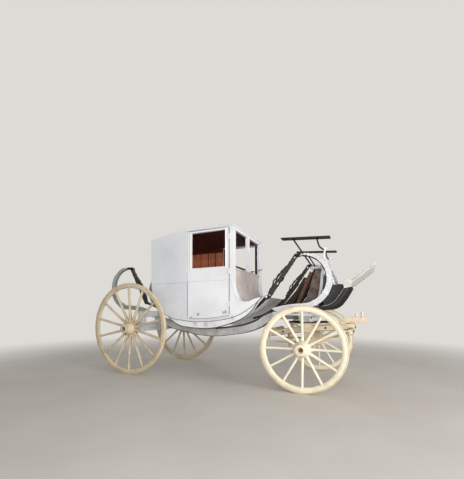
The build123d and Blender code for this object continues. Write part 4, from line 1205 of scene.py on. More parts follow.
@dataclass
class SpringPiece(CornerPiece):
    """One C spring: its leaves, clips, shackle and bolts."""

    track: float = 0.450
    width: float = 0.058
    leaf: float = 0.013
    inner: float = 0.290
    centres: Span = (1.162, -1.568)
    centre_z: float = 1.300
    tail_run: float = 0.370
    tail_drop: float = 0.060
    reach: float = 0.046
    plate: float = 0.008
    eye: Span = (0.0135, 0.018)
    cheek: float = 0.017
    bolt: float = 0.012
    nut: float = 0.0165
    nut_height: float = 0.009
    clip: float = 0.003
    leaves: tuple[Span, ...] = (
        # turn from the lowest point, tail length
        (184, 0.370),
        (174, 0.358),
        (158, 0.346),
        (126, 0.334),
        (84, 0.322),
    )
    # The turn at which each clip sits, and how many leaves it holds.
    clips: tuple[tuple[int, int], ...] = ((28, 5), (58, 5), (96, 4), (134, 3), (164, 2))

    def __post_init__(self) -> None:
        """Read the spring's node, finish and centre from its corner."""
        self.node = f"c_spring_{self.corner}"
        self.finish = Finish.SPRING_WHITE if self.front else Finish.SPRING_GREY
        self.centre_x = self.centres[0] if self.front else self.centres[1]
        self.y = self.side.value * self.track
        self.tail_radius = (self.tail_run**2 + self.tail_drop**2) / (2 * self.tail_drop)

    def at(self, turn: float, radius: float) -> Vector:
        """Give the place on the bow.

        Args:
            turn: The turn from the lowest point, in degrees.
            radius: The distance from the bow's centre.

        Returns:
            The place.
        """
        angle = math.radians(turn)
        x = self.centre_x + self.end.value * radius * math.sin(angle)
        return Vector((x, self.y, self.centre_z - radius * math.cos(angle)))

    def on_tail(self, run: float, depth: float) -> Vector:
        """Give the place on the tail.

        Args:
            run: How far along the tail.
            depth: How far below its top face.

        Returns:
            The place.
        """
        angle = run / self.tail_radius
        radius = self.tail_radius - depth
        x = self.centre_x - self.end.value * radius * math.sin(angle)
        return Vector((x, self.y, self.centre_z - self.inner - self.tail_radius + radius * math.cos(angle)))

    def build(self) -> None:
        """Build the spring in place of its plain node."""
        shape = Shape(f"{self.node}_leaves", self.finish)
        section = rounded_strip(self.leaf - 0.0006, self.width, 0.003)
        for number, (turn, tail) in enumerate(self.leaves):
            depth = (number + 0.5) * self.leaf
            steps = max(int(turn / 5), 8)
            path = [self.at(turn * (1 - step / steps), self.inner + depth) for step in range(steps)]
            path += [self.on_tail(tail * step / 12, depth) for step in range(13)]
            shape.sweep(path, section)
        tip_turn = self.leaves[0][0]
        tip = self.at(tip_turn, self.inner + self.leaf / 2)
        half = self.width / 2
        shape.lathe(crosswise(tip), plain_ring(self.eye, -half, half), steps=24)
        shape.finished(self.node, smooth=40)
        self._inner_face(tip_turn)
        self._shackle(tip, math.radians(tip_turn))
        self._clips()

    def _inner_face(self, tip_turn: float) -> None:
        """Add a dark strip inside the bow, painted shade for the underside of its leaves.

        Args:
            tip_turn: The turn at which the longest leaf ends, in degrees.
        """
        # Painted shade: black iron on the front springs and the grey edge line on the rear ones stand for the
        # shade under the leaves, not for wear.
        thick, worn = (0.010, Finish.BLACK_IRON) if self.front else (0.002, Finish.EDGE_LINE)
        shade = Shape(f"{self.node}_inner_face", worn)
        path = [self.at(tip_turn - 6 - step * 5, self.inner + 0.0005 - thick / 2) for step in range(26)]
        shade.sweep(path, rounded_strip(thick, self.width - 0.002, 0.0005))
        shade.finished(smooth=40)

    def _shackle(self, tip: Vector, angle: float) -> None:
        """Add the shackle and its bolts.

        Args:
            tip: The middle of the longest leaf's eye.
            angle: The turn at which the leaf ends.
        """
        along = Vector((self.end.value * math.cos(angle), 0, math.sin(angle)))
        across = Vector((-along.z, 0, along.x))
        pin = tip + along * self.reach
        iron = Shape(f"{self.node}_shackle", Finish.BLACK_IRON, bevel=0.0012)
        outline = half_circle(pin, along, across, self.cheek, -90)
        outline += half_circle(tip, along, across, self.cheek, 90)
        for hand in (-1, 1):
            near = self.y + hand * self.width / 2
            iron.prism(flat(outline), *sorted((near, near + hand * self.plate)))
        reach = self.width / 2 + self.plate
        for spot in (tip, pin):
            base = crosswise(spot)
            iron.stud(base, [(self.bolt, -reach - 0.002), (self.bolt, reach + 0.002)], 20)
            iron.stud(base, [(self.nut, reach), (self.nut, reach + self.nut_height)], 6)
            iron.stud(base, [(self.nut, -reach - self.nut_height), (self.nut, -reach)], 6)
        iron.finished(smooth=30)

    def _clips(self) -> None:
        """Add the clips round the leaves."""
        shape = Shape(f"{self.node}_clips", self.finish, bevel=0.0008)
        strip = rounded_strip(self.clip, self.width + 0.010, 0.001)
        for turn, leaves in self.clips if self.front else self.clips[::4]:
            outer = self.inner + leaves * self.leaf
            for radius in (self.inner - self.clip, outer):
                path = [self.at(turn + step * 1.6 - 2.4, radius + self.clip / 2) for step in range(4)]
                shape.sweep(path, strip)
            middle = self.at(turn, (self.inner + outer) / 2)
            spin = Matrix.Rotation(math.radians(turn) * self.end.value * -1, 4, "Y")
            half = (outer - self.inner) / 2 + self.clip
            for hand in (-1, 1):
                spot = middle + Vector((0, hand * (self.width / 2 + self.clip), 0))
                shape.box((-0.012, -0.002, -half), (0.012, 0.002, half), Matrix.Translation(spot) @ spin)
        shape.finished(smooth=30)


@dataclass
class BracePiece(CornerPiece):
    """One leather brace: two plies round its pins, with bulging folds, buckle and keepers."""

    track: float = 0.450
    width: float = 0.044
    ply: float = 0.009
    pin: float = 0.0132
    stitch: float = 0.0372
    buckle: float = 0.46
    rod: float = 0.004
    frame: float = 0.024
    folds: tuple[Place, ...] = (
        # share of the way up where it starts and ends, how far it bulges
        (0.16, 0.62, 0.030),
        (0.30, 0.74, 0.017),
        (0.06, 0.30, 0.011),
    )
    keepers: tuple[float, ...] = (-0.22, -0.10, 0.11, 0.22)

    def build(self) -> None:
        """Build the brace in place of its plain node."""
        node = f"brace_{self.corner}"
        low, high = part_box(node)
        edge = self.pin + self.ply
        rear, fore = low[0] + edge, high[0] - edge
        top = Vector((fore if self.front else rear, 0, high[2] - edge))
        foot = Vector((rear if self.front else fore, 0, low[2] + edge))
        length = (top - foot).length
        along = (top - foot).normalized()
        across = Vector((-along.z, 0, along.x))
        reach = self.pin + self.ply / 2
        path = half_circle(top, along, across, reach, -90)
        path += [foot + along * length * (1 - step / 20) + across * reach for step in range(1, 20)]
        path += half_circle(foot, along, across, reach, 90)
        path += [foot + along * length * (step / 20) - across * reach for step in range(1, 20)]
        strap = Shape(f"{node}_strap", Finish.STRAP)
        strap.sweep(self._placed(path), rounded_strip(self.ply, self.width, 0.002), closed=True)
        core = rounded_strip(2 * self.pin + 0.002, self.width - 0.003, 0.004)
        for start, end in ((self.stitch, length * 0.30), (length * 0.36, length - self.stitch)):
            run = [foot + along * (start + (end - start) * step / 8) for step in range(9)]
            strap.sweep(self._placed(run), core)
        out = across * self.end.value
        section = rounded_strip(self.ply * 0.9, self.width - 0.004, 0.002)
        for start, end, bulge in self.folds:
            run = []
            for share in (step / 14 for step in range(15)):
                lift = bulge * math.sin(math.pi * share) * (1 + 0.25 * math.sin(17 * share + 9 * start))
                spot = foot + along * length * (start + (end - start) * share)
                run.append(spot + out * (edge + self.ply / 2 + lift))
            strap.sweep(self._placed(run), section)
        strap.finished(node, smooth=40)
        middle = foot + along * length * self.buckle
        self._buckle(node, middle, along, across)
        self._keepers(node, middle, along, across)

    def _placed(self, spots: Sequence[Vector]) -> list[Vector]:
        """Give places of the XZ plane at the strap's Y."""
        return self.side.at(self.track, flat(spots))

    def _buckle(self, node: str, middle: Vector, along: Vector, across: Vector) -> None:
        """Add the buckle on the plies.

        Args:
            node: The node's name.
            middle: Where the buckle sits.
            along: The way up the strap.
            across: The way from one ply to the other.
        """
        iron = Shape(f"{node}_buckle", Finish.BLACK_IRON)
        half = Vector((0, self.width / 2 + 0.004, 0))
        reach = self.pin + self.ply + 0.004
        ends = self._placed([middle + along * shift - across * reach for shift in (-self.frame, self.frame)])
        for spot in ends:
            iron.tube([spot - half, spot + half], self.rod, 10)
        for hand in (-1, 1):
            iron.tube([spot + half * hand for spot in ends], self.rod, 10)
        tongue = [middle + along * self.frame - across * (reach + 0.003)]
        tongue.append(middle - along * 0.03 - across * (reach + 0.004))
        iron.tube(self._placed(tongue), 0.003, 8)
        iron.finished(smooth=50)

    def _keepers(self, node: str, middle: Vector, along: Vector, across: Vector) -> None:
        """Add the keepers round the plies.

        Args:
            node: The node's name.
            middle: Where the buckle sits.
            along: The way up the strap.
            across: The way from one ply to the other.
        """
        shape = Shape(f"{node}_keepers", Finish.STRAP, bevel=0.0006)
        y, wide = self.side.value * self.track, self.width / 2 + 0.002
        reach = self.pin + self.ply + 0.002
        section = rounded_strip(0.003, 0.018, 0.001)
        for share in self.keepers:
            spot = middle + along * share
            loop = []
            for a, b in ((1, 1), (-1, 1), (-1, -1), (1, -1)):
                corner = spot + across * a * reach
                loop.append(Vector((corner.x, y + b * wide, corner.z)))
            shape.sweep(loop, section, along, closed=True)
        shape.finished(smooth=40)


@dataclass(frozen=True)
class BodyTrim:
    """The body's edge lines, mouldings, painted shadow lines at its seams, and the door's beads."""

    half: float = 0.586
    belt: float = 1.329
    quarter_belt: float = 1.318
    rear: float = -1.011
    front: float = 0.309
    back_face: float = -1.0005
    door: Span = (-0.368, 0.257)
    door_gap: float = 0.005
    window: tuple[Point, Point] = ((-0.318, 1.503), (0.207, 1.986))
    inset: float = 0.006
    roof_bead: float = 0.0065
    belt_bead: float = 0.0032
    roof_line: Arc = ((-1.011, 1.966), (-0.408, 2.050), (0.309, 2.045))
    # Three runs of arcs, each joint followed by the middle point of the next arc.
    outline: tuple[Point, ...] = (
        (-1.000, 1.320), (-0.936, 1.080), (-0.756, 0.875), (-0.629, 0.818), (-0.493, 0.7964), (-0.197, 0.775),
        (0.288, 0.833), (0.521, 0.940), (0.707, 1.099), (0.612, 1.079), (0.530, 1.043),
    )
    front_curve: tuple[Point, ...] = (
        (0.530, 1.043), (0.422, 1.049), (0.347, 1.140), (0.319, 1.218), (0.309, 1.320),
    )
    rocker_foot: tuple[Point, ...] = (
        (-0.700, 0.850), (-0.561, 0.746), (-0.400, 0.702), (-0.170, 0.688), (0.060, 0.702),
        (0.269, 0.757), (0.412, 0.810), (0.552, 0.905), (0.655, 1.047),
    )

    def build(self) -> None:
        """Build the trim of both sides and of the front."""
        for side in Side:
            self._edges(side)
            self._mouldings(side)
            self._seams(side)
            self._door(side)
        self._front()

    def _bead(self, shape: Shape, side: Side, points: Sequence[Point], radius: float, sides: int = 8) -> None:
        """Add a bead on the body's face."""
        shape.tube(side.at(self.half, points), radius, sides)

    def _edges(self, side: Side) -> None:
        """Add the beads that follow the body's curved edge, and a dark bead along the rocker's foot as
        painted shadow between the rocker and the perch.

        Args:
            side: The side.
        """
        for name, run, finish, radius in (
            ("edge_line", self.outline, Finish.EDGE_LINE, 0.0052),
            ("front_curve_bead", self.front_curve, Finish.BODY_WHITE, 0.0050),
            # painted shadow between the rocker and the perch
            ("rocker_foot_shadow_line", self.rocker_foot, Finish.SEAM, 0.0060),
        ):
            shape = Shape(f"{name}_{side.word}", finish)
            for bend in arcs(run):
                self._bead(shape, side, through(*bend, 14), radius)
            shape.finished(smooth=60)

    def _mouldings(self, side: Side) -> None:
        """Add the roof's moulding and the quarter's belt line.

        Args:
            side: The side.
        """
        shape = Shape(f"mouldings_{side.word}", Finish.BODY_WHITE)
        self._bead(shape, side, through(*self.roof_line, 24), self.roof_bead, 10)
        seam = self.door[0] - self.door_gap
        belt = [(self.rear + 0.02, self.quarter_belt), (seam, self.quarter_belt)]
        self._bead(shape, side, belt, self.belt_bead)
        self._bead(shape, side, [(seam - 0.012, 1.36), (seam - 0.012, 1.985)], 0.003)
        shape.finished(smooth=60)

    def _seams(self, side: Side) -> None:
        """Add dark painted shadow lines beside the door's two upright gaps and under the quarter's belt line.

        Args:
            side: The side.
        """
        shape = Shape(f"door_seams_{side.word}", Finish.SEAM)
        near, far = side.span(self.half - 0.001, self.half + 0.0006)
        rear, front = self.door[0] - self.door_gap, self.door[1] + self.door_gap
        belt = self.quarter_belt
        shape.box((front, near, 0.885), (front + 0.0065, far, 2.010))
        shape.box((rear - 0.004, near, 0.850), (rear, far, self.belt))
        shape.box((self.rear + 0.03, near, belt - 0.0055), (rear - 0.01, far, belt - 0.0036))
        shape.finished()

    def _door(self, side: Side) -> None:
        """Add the bead round the door's window and the door's own belt line, with painted shadow lines beside
        the window's bead and under the belt line.

        Args:
            side: The side.
        """
        body = f"door_{side.word}_body"
        lines = Shape(f"door_lines_{side.word}", Finish.SEAM, body)
        near, far = side.span(self.half - 0.001, self.half + 0.0006)
        # Painted shadow: a dark line just outside the window's bead and one under the belt line.
        rear, front = self.door
        lines.box((-0.3335, near, 1.473), (-0.3315, far, 2.000))
        lines.box((rear + 0.010, near, self.belt - 0.0053), (front - 0.012, far, self.belt - 0.0040))
        lines.finished()
        shape = Shape(f"door_beads_{side.word}", Finish.BEAD_WHITE, body)
        (left, low), (right, high) = self.window
        left, low, right, high = left - self.inset, low - self.inset, right + self.inset, high + self.inset
        ring = [(left, low), (right, low), (right, high), (left, high)]
        for number, start in enumerate(ring):
            self._bead(shape, side, [start, ring[(number + 1) % 4]], 0.0064, 10)
        self._bead(shape, side, [(rear + 0.008, self.belt), (front - 0.010, self.belt)], self.belt_bead)
        shape.finished(smooth=60)

    def _front(self) -> None:
        """Add the grey capping under the front windows and the mouldings across the front and back."""
        cap = Shape("front_sill_capping", Finish.BODY_GREY, bevel=0.001)
        cap.box((self.front - 0.001, -0.486, 1.466), (self.front + 0.002, 0.486, 1.494))
        cap.finished()
        cross = Shape("mouldings_across", Finish.BODY_WHITE)
        for x, z, radius, sides in (
            (self.front, 2.045, self.roof_bead, 10),
            (self.rear, 1.966, self.roof_bead, 10),
            (self.back_face, self.quarter_belt, self.belt_bead, 8),
        ):
            cross.tube([Vector((x, -self.half, z)), Vector((x, self.half, z))], radius, sides)
        cross.finished(smooth=60)


@dataclass(frozen=True)
class Lining:
    """The boards that line the body inside, bare since the cloth went."""

    quarter: Span = (-0.975, -0.378)
    quarter_boards: tuple[tuple[float, float, float, int, float], ...] = (
        # rear edge, foot, head, how many boards, the gap between two
        (-0.975, 1.235, 1.942, 4, 0.016),
        (-0.575, 0.885, 1.228, 2, 0.009),
    )
    face: Span = (0.541, 0.547)
    sheet: Span = (0.5462, 0.5474)
    door_face: Span = (0.542, 0.547)
    roof: Arc = ((-1.011, 1.938), (-0.408, 2.022), (0.309, 2.017))
    ceiling: Span = (-0.958, 0.265)
    ceiling_half: float = 0.545
    ceiling_board: float = 0.0845
    ceiling_gap: float = 0.010

    def build(self) -> None:
        """Build the lining of the sides, the back, the ceiling and the doors."""
        for side in Side:
            self._quarter(side)
            self._door(side)
        self._ceiling()
        sill = Shape("front_sill_board", Finish.BOOT_DARK, bevel=0.001)
        sill.box((0.262, -0.520, 1.440), (0.2685, -0.030, 1.534))
        sill.finished()
        lining = Shape("back_lining", Finish.LINING, bevel=0.0008)
        lining.boards((-0.9755, -0.540, 1.33), (-0.9695, 0.540, 1.94), 11, 1, 0.006)
        lining.finished()
        sheet = Shape("back_lining_sheet", Finish.CEILING)
        sheet.box((-0.9772, -0.540, 1.33), (-0.9757, 0.540, 1.94))
        sheet.finished()

    def _quarter(self, side: Side) -> None:
        """Add the upright boards of one quarter and the dark strip above them.

        Args:
            side: The side.
        """
        rear, front = self.quarter
        low, high = side.span(*self.face)
        shape = Shape(f"quarter_lining_{side.word}", Finish.LINING, bevel=0.0008)
        for start, foot, head, count, gap in self.quarter_boards:
            shape.boards((start, low, foot), (front, high, head), count, 0, gap)
        shape.finished()
        nails = Shape(f"quarter_nails_{side.word}", Finish.BLACK_IRON)
        profile = [(0.0080, -0.001), (0.0080, 0.0008), (0.004, 0.0014)]
        for number in range(9):
            x = -0.940 + number * 0.065
            for z in (1.728 + 0.006 * (number % 3), 1.866 - 0.012 * (number % 2)):
                base = axis_at(side.spot(x, self.face[0], z), side.spot(0, -1, 0))
                nails.stud(base, profile, 10)
        nails.finished(smooth=40)
        strip = Shape(f"quarter_top_strip_{side.word}", Finish.CEILING)
        outline = [(rear, 1.944), (front, 1.944), (front, 2.012), (-0.408, 2.013), (rear, 1.9445)]
        strip.prism(outline, low, high)
        strip.box((0.266, low, 0.95), (0.296, high, 2.008))
        near, far = side.span(*self.sheet)
        strip.box((rear, near, 1.235), (front, far, 1.944))
        strip.finished()

    def _door(self, side: Side) -> None:
        """Add one door's lining below and beside its window.

        Args:
            side: The side.
        """
        low, high = side.span(*self.door_face)
        shape = Shape(f"door_lining_{side.word}", Finish.DOOR_LINING, f"door_{side.word}_body", bevel=0.0008)
        shape.boards((-0.360, low, 0.90), (0.249, high, 1.495), 7, 0, 0.003)
        for rear, front in ((-0.360, -0.320), (0.209, 0.249)):
            shape.box((rear, low, 1.495), (front, high, 1.990))
        shape.finished()

    def roof_z(self, x: float) -> float:
        """Give the height of the roof's underside at a place along the body."""
        (ax, az), (bx, bz), (cx, cz) = self.roof
        return az + (bz - az) * (x - ax) / (bx - ax) if x < bx else bz + (cz - bz) * (x - bx) / (cx - bx)

    def _ceiling(self) -> None:
        """Add the ceiling's boards, side to side under the roof, and the sheet above them."""
        shape = Shape("ceiling_boards", Finish.CEILING, bevel=0.0008)
        rear, front = self.ceiling
        bend = self.roof[1][0]
        pieces = []
        for number in range(13):
            start = rear + number * (self.ceiling_board + self.ceiling_gap)
            end = start + self.ceiling_board
            pieces.append((start, bend if start < bend < end else end, 0.007, 0.001))
        pieces += [(rear, bend, 0.0015, 0.0004), (bend, front, 0.0015, 0.0004)]
        for start, end, below, above in pieces:
            outline = [(start, self.roof_z(start) - below), (end, self.roof_z(end) - below)]
            outline += [(end, self.roof_z(end) - above), (start, self.roof_z(start) - above)]
            shape.prism(outline, -self.ceiling_half, self.ceiling_half)
        shape.finished()


@dataclass(frozen=True)
class Boot:
    """What is left of the boot: a leaning board between two sides of slats on a foot rail."""

    foot: Place = (0.907, 0, 0.904)
    head: Place = (1.309, 0, 1.440)
    thickness: float = 0.022
    reach: float = 0.330
    side_thickness: float = 0.012
    foot_z: float = 0.975
    rail: Span = (0.849, 1.158)
    rail_top: float = 1.009
    slat_width: float = 0.062
    planks: int = 5
    plank_gap: float = 0.003
    slats: tuple[tuple[float, float, float, str], ...] = (
        # x of the foot and of the head on the slat's rear edge, height of the head, its finish
        (0.849, 1.069, 1.259, "BOOT_WOOD"),
        (0.947, 1.169, 1.342, "BOOT_WOOD"),
        (1.051, 1.239, 1.412, "BOOT_ORANGE"),
    )

    def build(self) -> None:
        """Build the leaning board's planks and the two sides."""
        foot, head = Vector(self.foot), Vector(self.head)
        along = (head - foot).normalized()
        across = Vector((along.z, 0, -along.x)) * (self.thickness / 2)
        board = Shape("boot_planks", Finish.BOOT_DARK, bevel=0.0015)
        half = self.reach - self.side_thickness
        wide = 2 * half / self.planks
        for number in range(self.planks):
            low = number * wide - half + self.plank_gap / 2
            end = foot + along * ((head - foot).length - 0.010 * ((number * 2) % 3))
            corners = flat([foot + across, end + across, end - across, foot - across])
            board.prism(corners, low, low + wide - self.plank_gap)
        board.finished("boot_board")
        for side in Side:
            self._panel(side)
            self._slats(side)

    def _panel(self, side: Side) -> None:
        """Add one side's panel and foot rail.

        Args:
            side: The side.
        """
        rear, front = self.rail
        foot, top = self.foot_z, self.rail_top
        inner = self.reach - self.side_thickness
        panel = Shape(f"boot_panel_{side.word}", Finish.BOOT_SIDE, bevel=0.0012)
        outline = [(1.309, 1.436), (1.374, 1.436), (1.359, 1.173), (1.327, foot), (front, foot)]
        panel.prism(outline, *side.span(inner, self.reach))
        panel.finished()
        rail = Shape(f"boot_rail_{side.word}", Finish.BOOT_DARK, bevel=0.0015)
        outline = [(rear, foot), (front, foot), (front, top), (rear, top)]
        rail.prism(outline, *side.span(inner, self.reach - 0.003))
        rail.finished()

    def _slats(self, side: Side) -> None:
        """Add one side's slats, the dark strips between them and their nails.

        Args:
            side: The side.
        """
        low, high = side.span(self.reach - self.side_thickness, self.reach)
        full, foot_z = self.slat_width, self.foot_z
        nails = Shape(f"boot_nails_{side.word}", Finish.RUSTY_IRON)
        for number, (foot_x, head_x, head_z, finish) in enumerate(self.slats, 1):
            slat = Shape(f"boot_slat_{side.word}_{number}", Finish[finish], bevel=0.0012)
            corners = [(foot_x, foot_z), (head_x, head_z), (head_x + full * 0.4, head_z - 0.006 * number)]
            corners += [(head_x + full * 0.7, head_z), (foot_x + full * 0.7, foot_z)]
            slat.prism(corners, low, high)
            slat.finished()
            strip = Shape(f"boot_strip_{side.word}_{number}", Finish.BOOT_DARK, bevel=0.001)
            wide, top = full * (1.45 if number == 1 else 1.0), head_z - 0.03
            corners = [(foot_x + full * 0.72, foot_z), (head_x + full * 0.72, top)]
            corners += [(head_x + wide, top), (foot_x + wide, foot_z)]
            strip.prism(corners, low + 0.001, high - 0.001)
            strip.finished()
            for share in (0.03, 0.90):
                x = foot_x + (head_x - foot_x) * share + full / 2
                spot = side.spot(x, self.reach, foot_z + (head_z - foot_z) * share)
                profile = [(0.0055, -0.001), (0.0055, 0.0012), (0.003, 0.0022)]
                nails.stud(axis_at(spot, side.spot(0, 1, 0)), profile, 12)
        nails.finished(smooth=40)


@dataclass(frozen=True)
class SeatFrame:
    """The irons of the coachman's seat: pale uprights, dark stays and the rails' bolts."""

    standard: float = 0.350
    width: float = 0.040
    thickness: float = 0.026
    upright: tuple[Place, ...] = (
        # x, z, share of the full size there
        (1.322, 0.975, 1.0), (1.352, 1.08, 1.0), (1.373, 1.173, 0.95), (1.381, 1.28, 0.85),
        (1.389, 1.400, 0.8), (1.404, 1.54, 0.66), (1.422, 1.670, 0.55),
    )
    arm: tuple[Point, ...] = ((1.269, 1.440), (1.320, 1.448), (1.392, 1.452))
    eyes: tuple[Point, ...] = ((1.274, 1.441), (1.421, 1.662))
    stays: tuple[tuple[Place, ...], ...] = (
        ((1.279, 0.350, 1.445), (1.219, 0.370, 1.545), (1.059, 0.440, 1.800)),
        ((1.419, 0.350, 1.650), (1.366, 0.410, 1.680), (1.339, 0.440, 1.778)),
    )
    cheek_stay: tuple[Place, ...] = ((1.532, 0.408, 1.226), (1.475, 0.385, 1.400), (1.412, 0.350, 1.570))

    rail: tuple[Place, Place] = ((0.922, 0.450, 1.818), (1.492, 0.450, 1.783))
    rail_bolts: tuple[float, ...] = (0.12, 0.5, 0.88)

    def build(self) -> None:
        """Build both sides."""
        for side in Side:
            self._upright(side)
            self._stays(side)
            self._rail(side)

    def _upright(self, side: Side) -> None:
        """Add the forged upright with its arm and foot, in place of the plain standard.

        Args:
            side: The side.
        """
        shape = Shape(f"seat_upright_{side.word}", Finish.GEAR_GREY)
        rows = []
        for x, z, full in self.upright:
            strip = rounded_strip(self.width * full, self.thickness * (0.5 + 0.5 * full), 0.008)
            spots = [Vector((x + a, side.value * self.standard + b, z + a * 0.12)) for a, b in strip]
            rows.append(shape.row(spots))
        shape.skin(rows)
        shape.sweep(side.at(self.standard, self.arm), rounded_strip(0.030, self.thickness, 0.008))
        half = self.thickness / 2 + 0.003
        for x, z in self.eyes:
            base = axis_at(side.spot(x, self.standard, z), side.spot(0, 1, 0))
            shape.stud(base, [(0.024, -half), (0.026, 0.0), (0.024, half)], 24)
        shape.finished(f"seat_standard_{side.word}", smooth=40)

    def _stays(self, side: Side) -> None:
        """Add the round stays from the upright to the rail and to the footboard's cheek.

        Args:
            side: The side.
        """
        iron = Shape(f"seat_stays_{side.word}", Finish.BLACK_IRON)
        for points in self.stays:
            iron.tube(self.bent([side.spot(*point) for point in points], 0.03), 0.0095)
        iron.finished(smooth=60)
        pale = Shape(f"cheek_stay_{side.word}", Finish.GEAR_GREY)
        pale.tube(self.bent([side.spot(*point) for point in self.cheek_stay], 0.05), 0.0072)
        pale.finished(smooth=60)

    def bent(self, route: Sequence[Vector], reach: float) -> list[Vector]:
        """Round the middle corner of a three point route.

        Args:
            route: The three points.
            reach: How far from the corner the bend starts.

        Returns:
            The points with the bend.
        """
        first, corner, last = route
        start = corner + (first - corner).normalized() * reach
        end = corner + (last - corner).normalized() * reach
        shares = [step / 6 for step in range(7)]
        bend = [start.lerp(corner, share).lerp(corner.lerp(end, share), share) for share in shares]
        return [first, *bend, last]

    def _rail(self, side: Side) -> None:
        """Add the bolts along one seat rail.

        Args:
            side: The side.
        """
        shape = Shape(f"seat_rail_bolts_{side.word}", Finish.BLACK_IRON)
        rear, front = (side.spot(*end) for end in self.rail)
        for share in self.rail_bolts:
            shape.bolt(rear.lerp(front, share), UP, 0.009)
        shape.finished(smooth=30)


@dataclass(frozen=True)
class Footwell:
    """The toe board's ribs and edge line, and the irons along the footboard."""

    foot: Place = (1.671, 0, 1.228)
    head: Place = (1.955, 0, 1.450)
    half: float = 0.400
    ribs: int = 5
    rib_step: float = 0.158
    rib_width: float = 0.153
    cleat: tuple[Point, ...] = (
        (1.628, 1.246), (1.669, 1.292), (1.701, 1.266), (1.719, 1.234), (1.719, 1.194), (1.635, 1.178),
    )
    lower_curve: Arc = ((1.402, 0.960), (1.512, 0.989), (1.582, 1.060))
    upper_curve: Arc = ((1.582, 1.060), (1.642, 1.150), (1.687, 1.240))

    def build(self) -> None:
        """Build the ribs, the cleats, the edge line and the footboard's strips."""
        foot, head = Vector(self.foot), Vector(self.head)
        along = (head - foot).normalized()
        up = Vector((-along.z, 0, along.x))
        ribs = Shape("toe_board_ribs", Finish.TOE_WOOD, bevel=0.0012)
        start, end = foot + along * 0.03 + up * 0.0135, head - along * 0.018 + up * 0.0135
        corners = flat([start, end, end + up * 0.004, start + up * 0.004])
        for number in range(self.ribs):
            middle = (number - self.ribs // 2) * self.rib_step
            ribs.prism(corners, middle - self.rib_width / 2, middle + self.rib_width / 2)
        ribs.finished()
        cleats = Shape("toe_board_cleats", Finish.TOE_WOOD, bevel=0.0012)
        for side in Side:
            cleats.prism(self.cleat, *side.span(0.4547, 0.4610))
        cleats.finished()
        edge = Shape("toe_board_line", Finish.EDGE_LINE)
        start, end = foot + along * 0.06, head - along * 0.01
        corners = flat([start + up * 0.006, end + up * 0.006, end - up * 0.001, start - up * 0.001])
        edge.prism(corners, -self.half - 0.0006, self.half + 0.0006)
        edge.finished()
        self._strips()

    def _strips(self) -> None:
        """Add a thin iron along each side edge of the curved footboard, and its worn line."""
        curve = through(*self.lower_curve, 10) + through(*self.upper_curve, 8)[1:]
        iron, edge = [(1.330, 0.954), *curve], alongside(curve, -0.021)
        for name, finish, reach, path, section in (
            ("footboard_edge_irons", Finish.BLACK_IRON, 0.452, iron, (0.050, 0.005, 0.001)),
            ("footboard_worn_edges", Finish.EDGE_LINE, 0.4555, edge, (0.006, 0.002, 0.0005)),
        ):
            shape = Shape(name, finish)
            for side in Side:
                shape.sweep(side.at(reach, path), rounded_strip(*section))
            shape.finished(smooth=40)


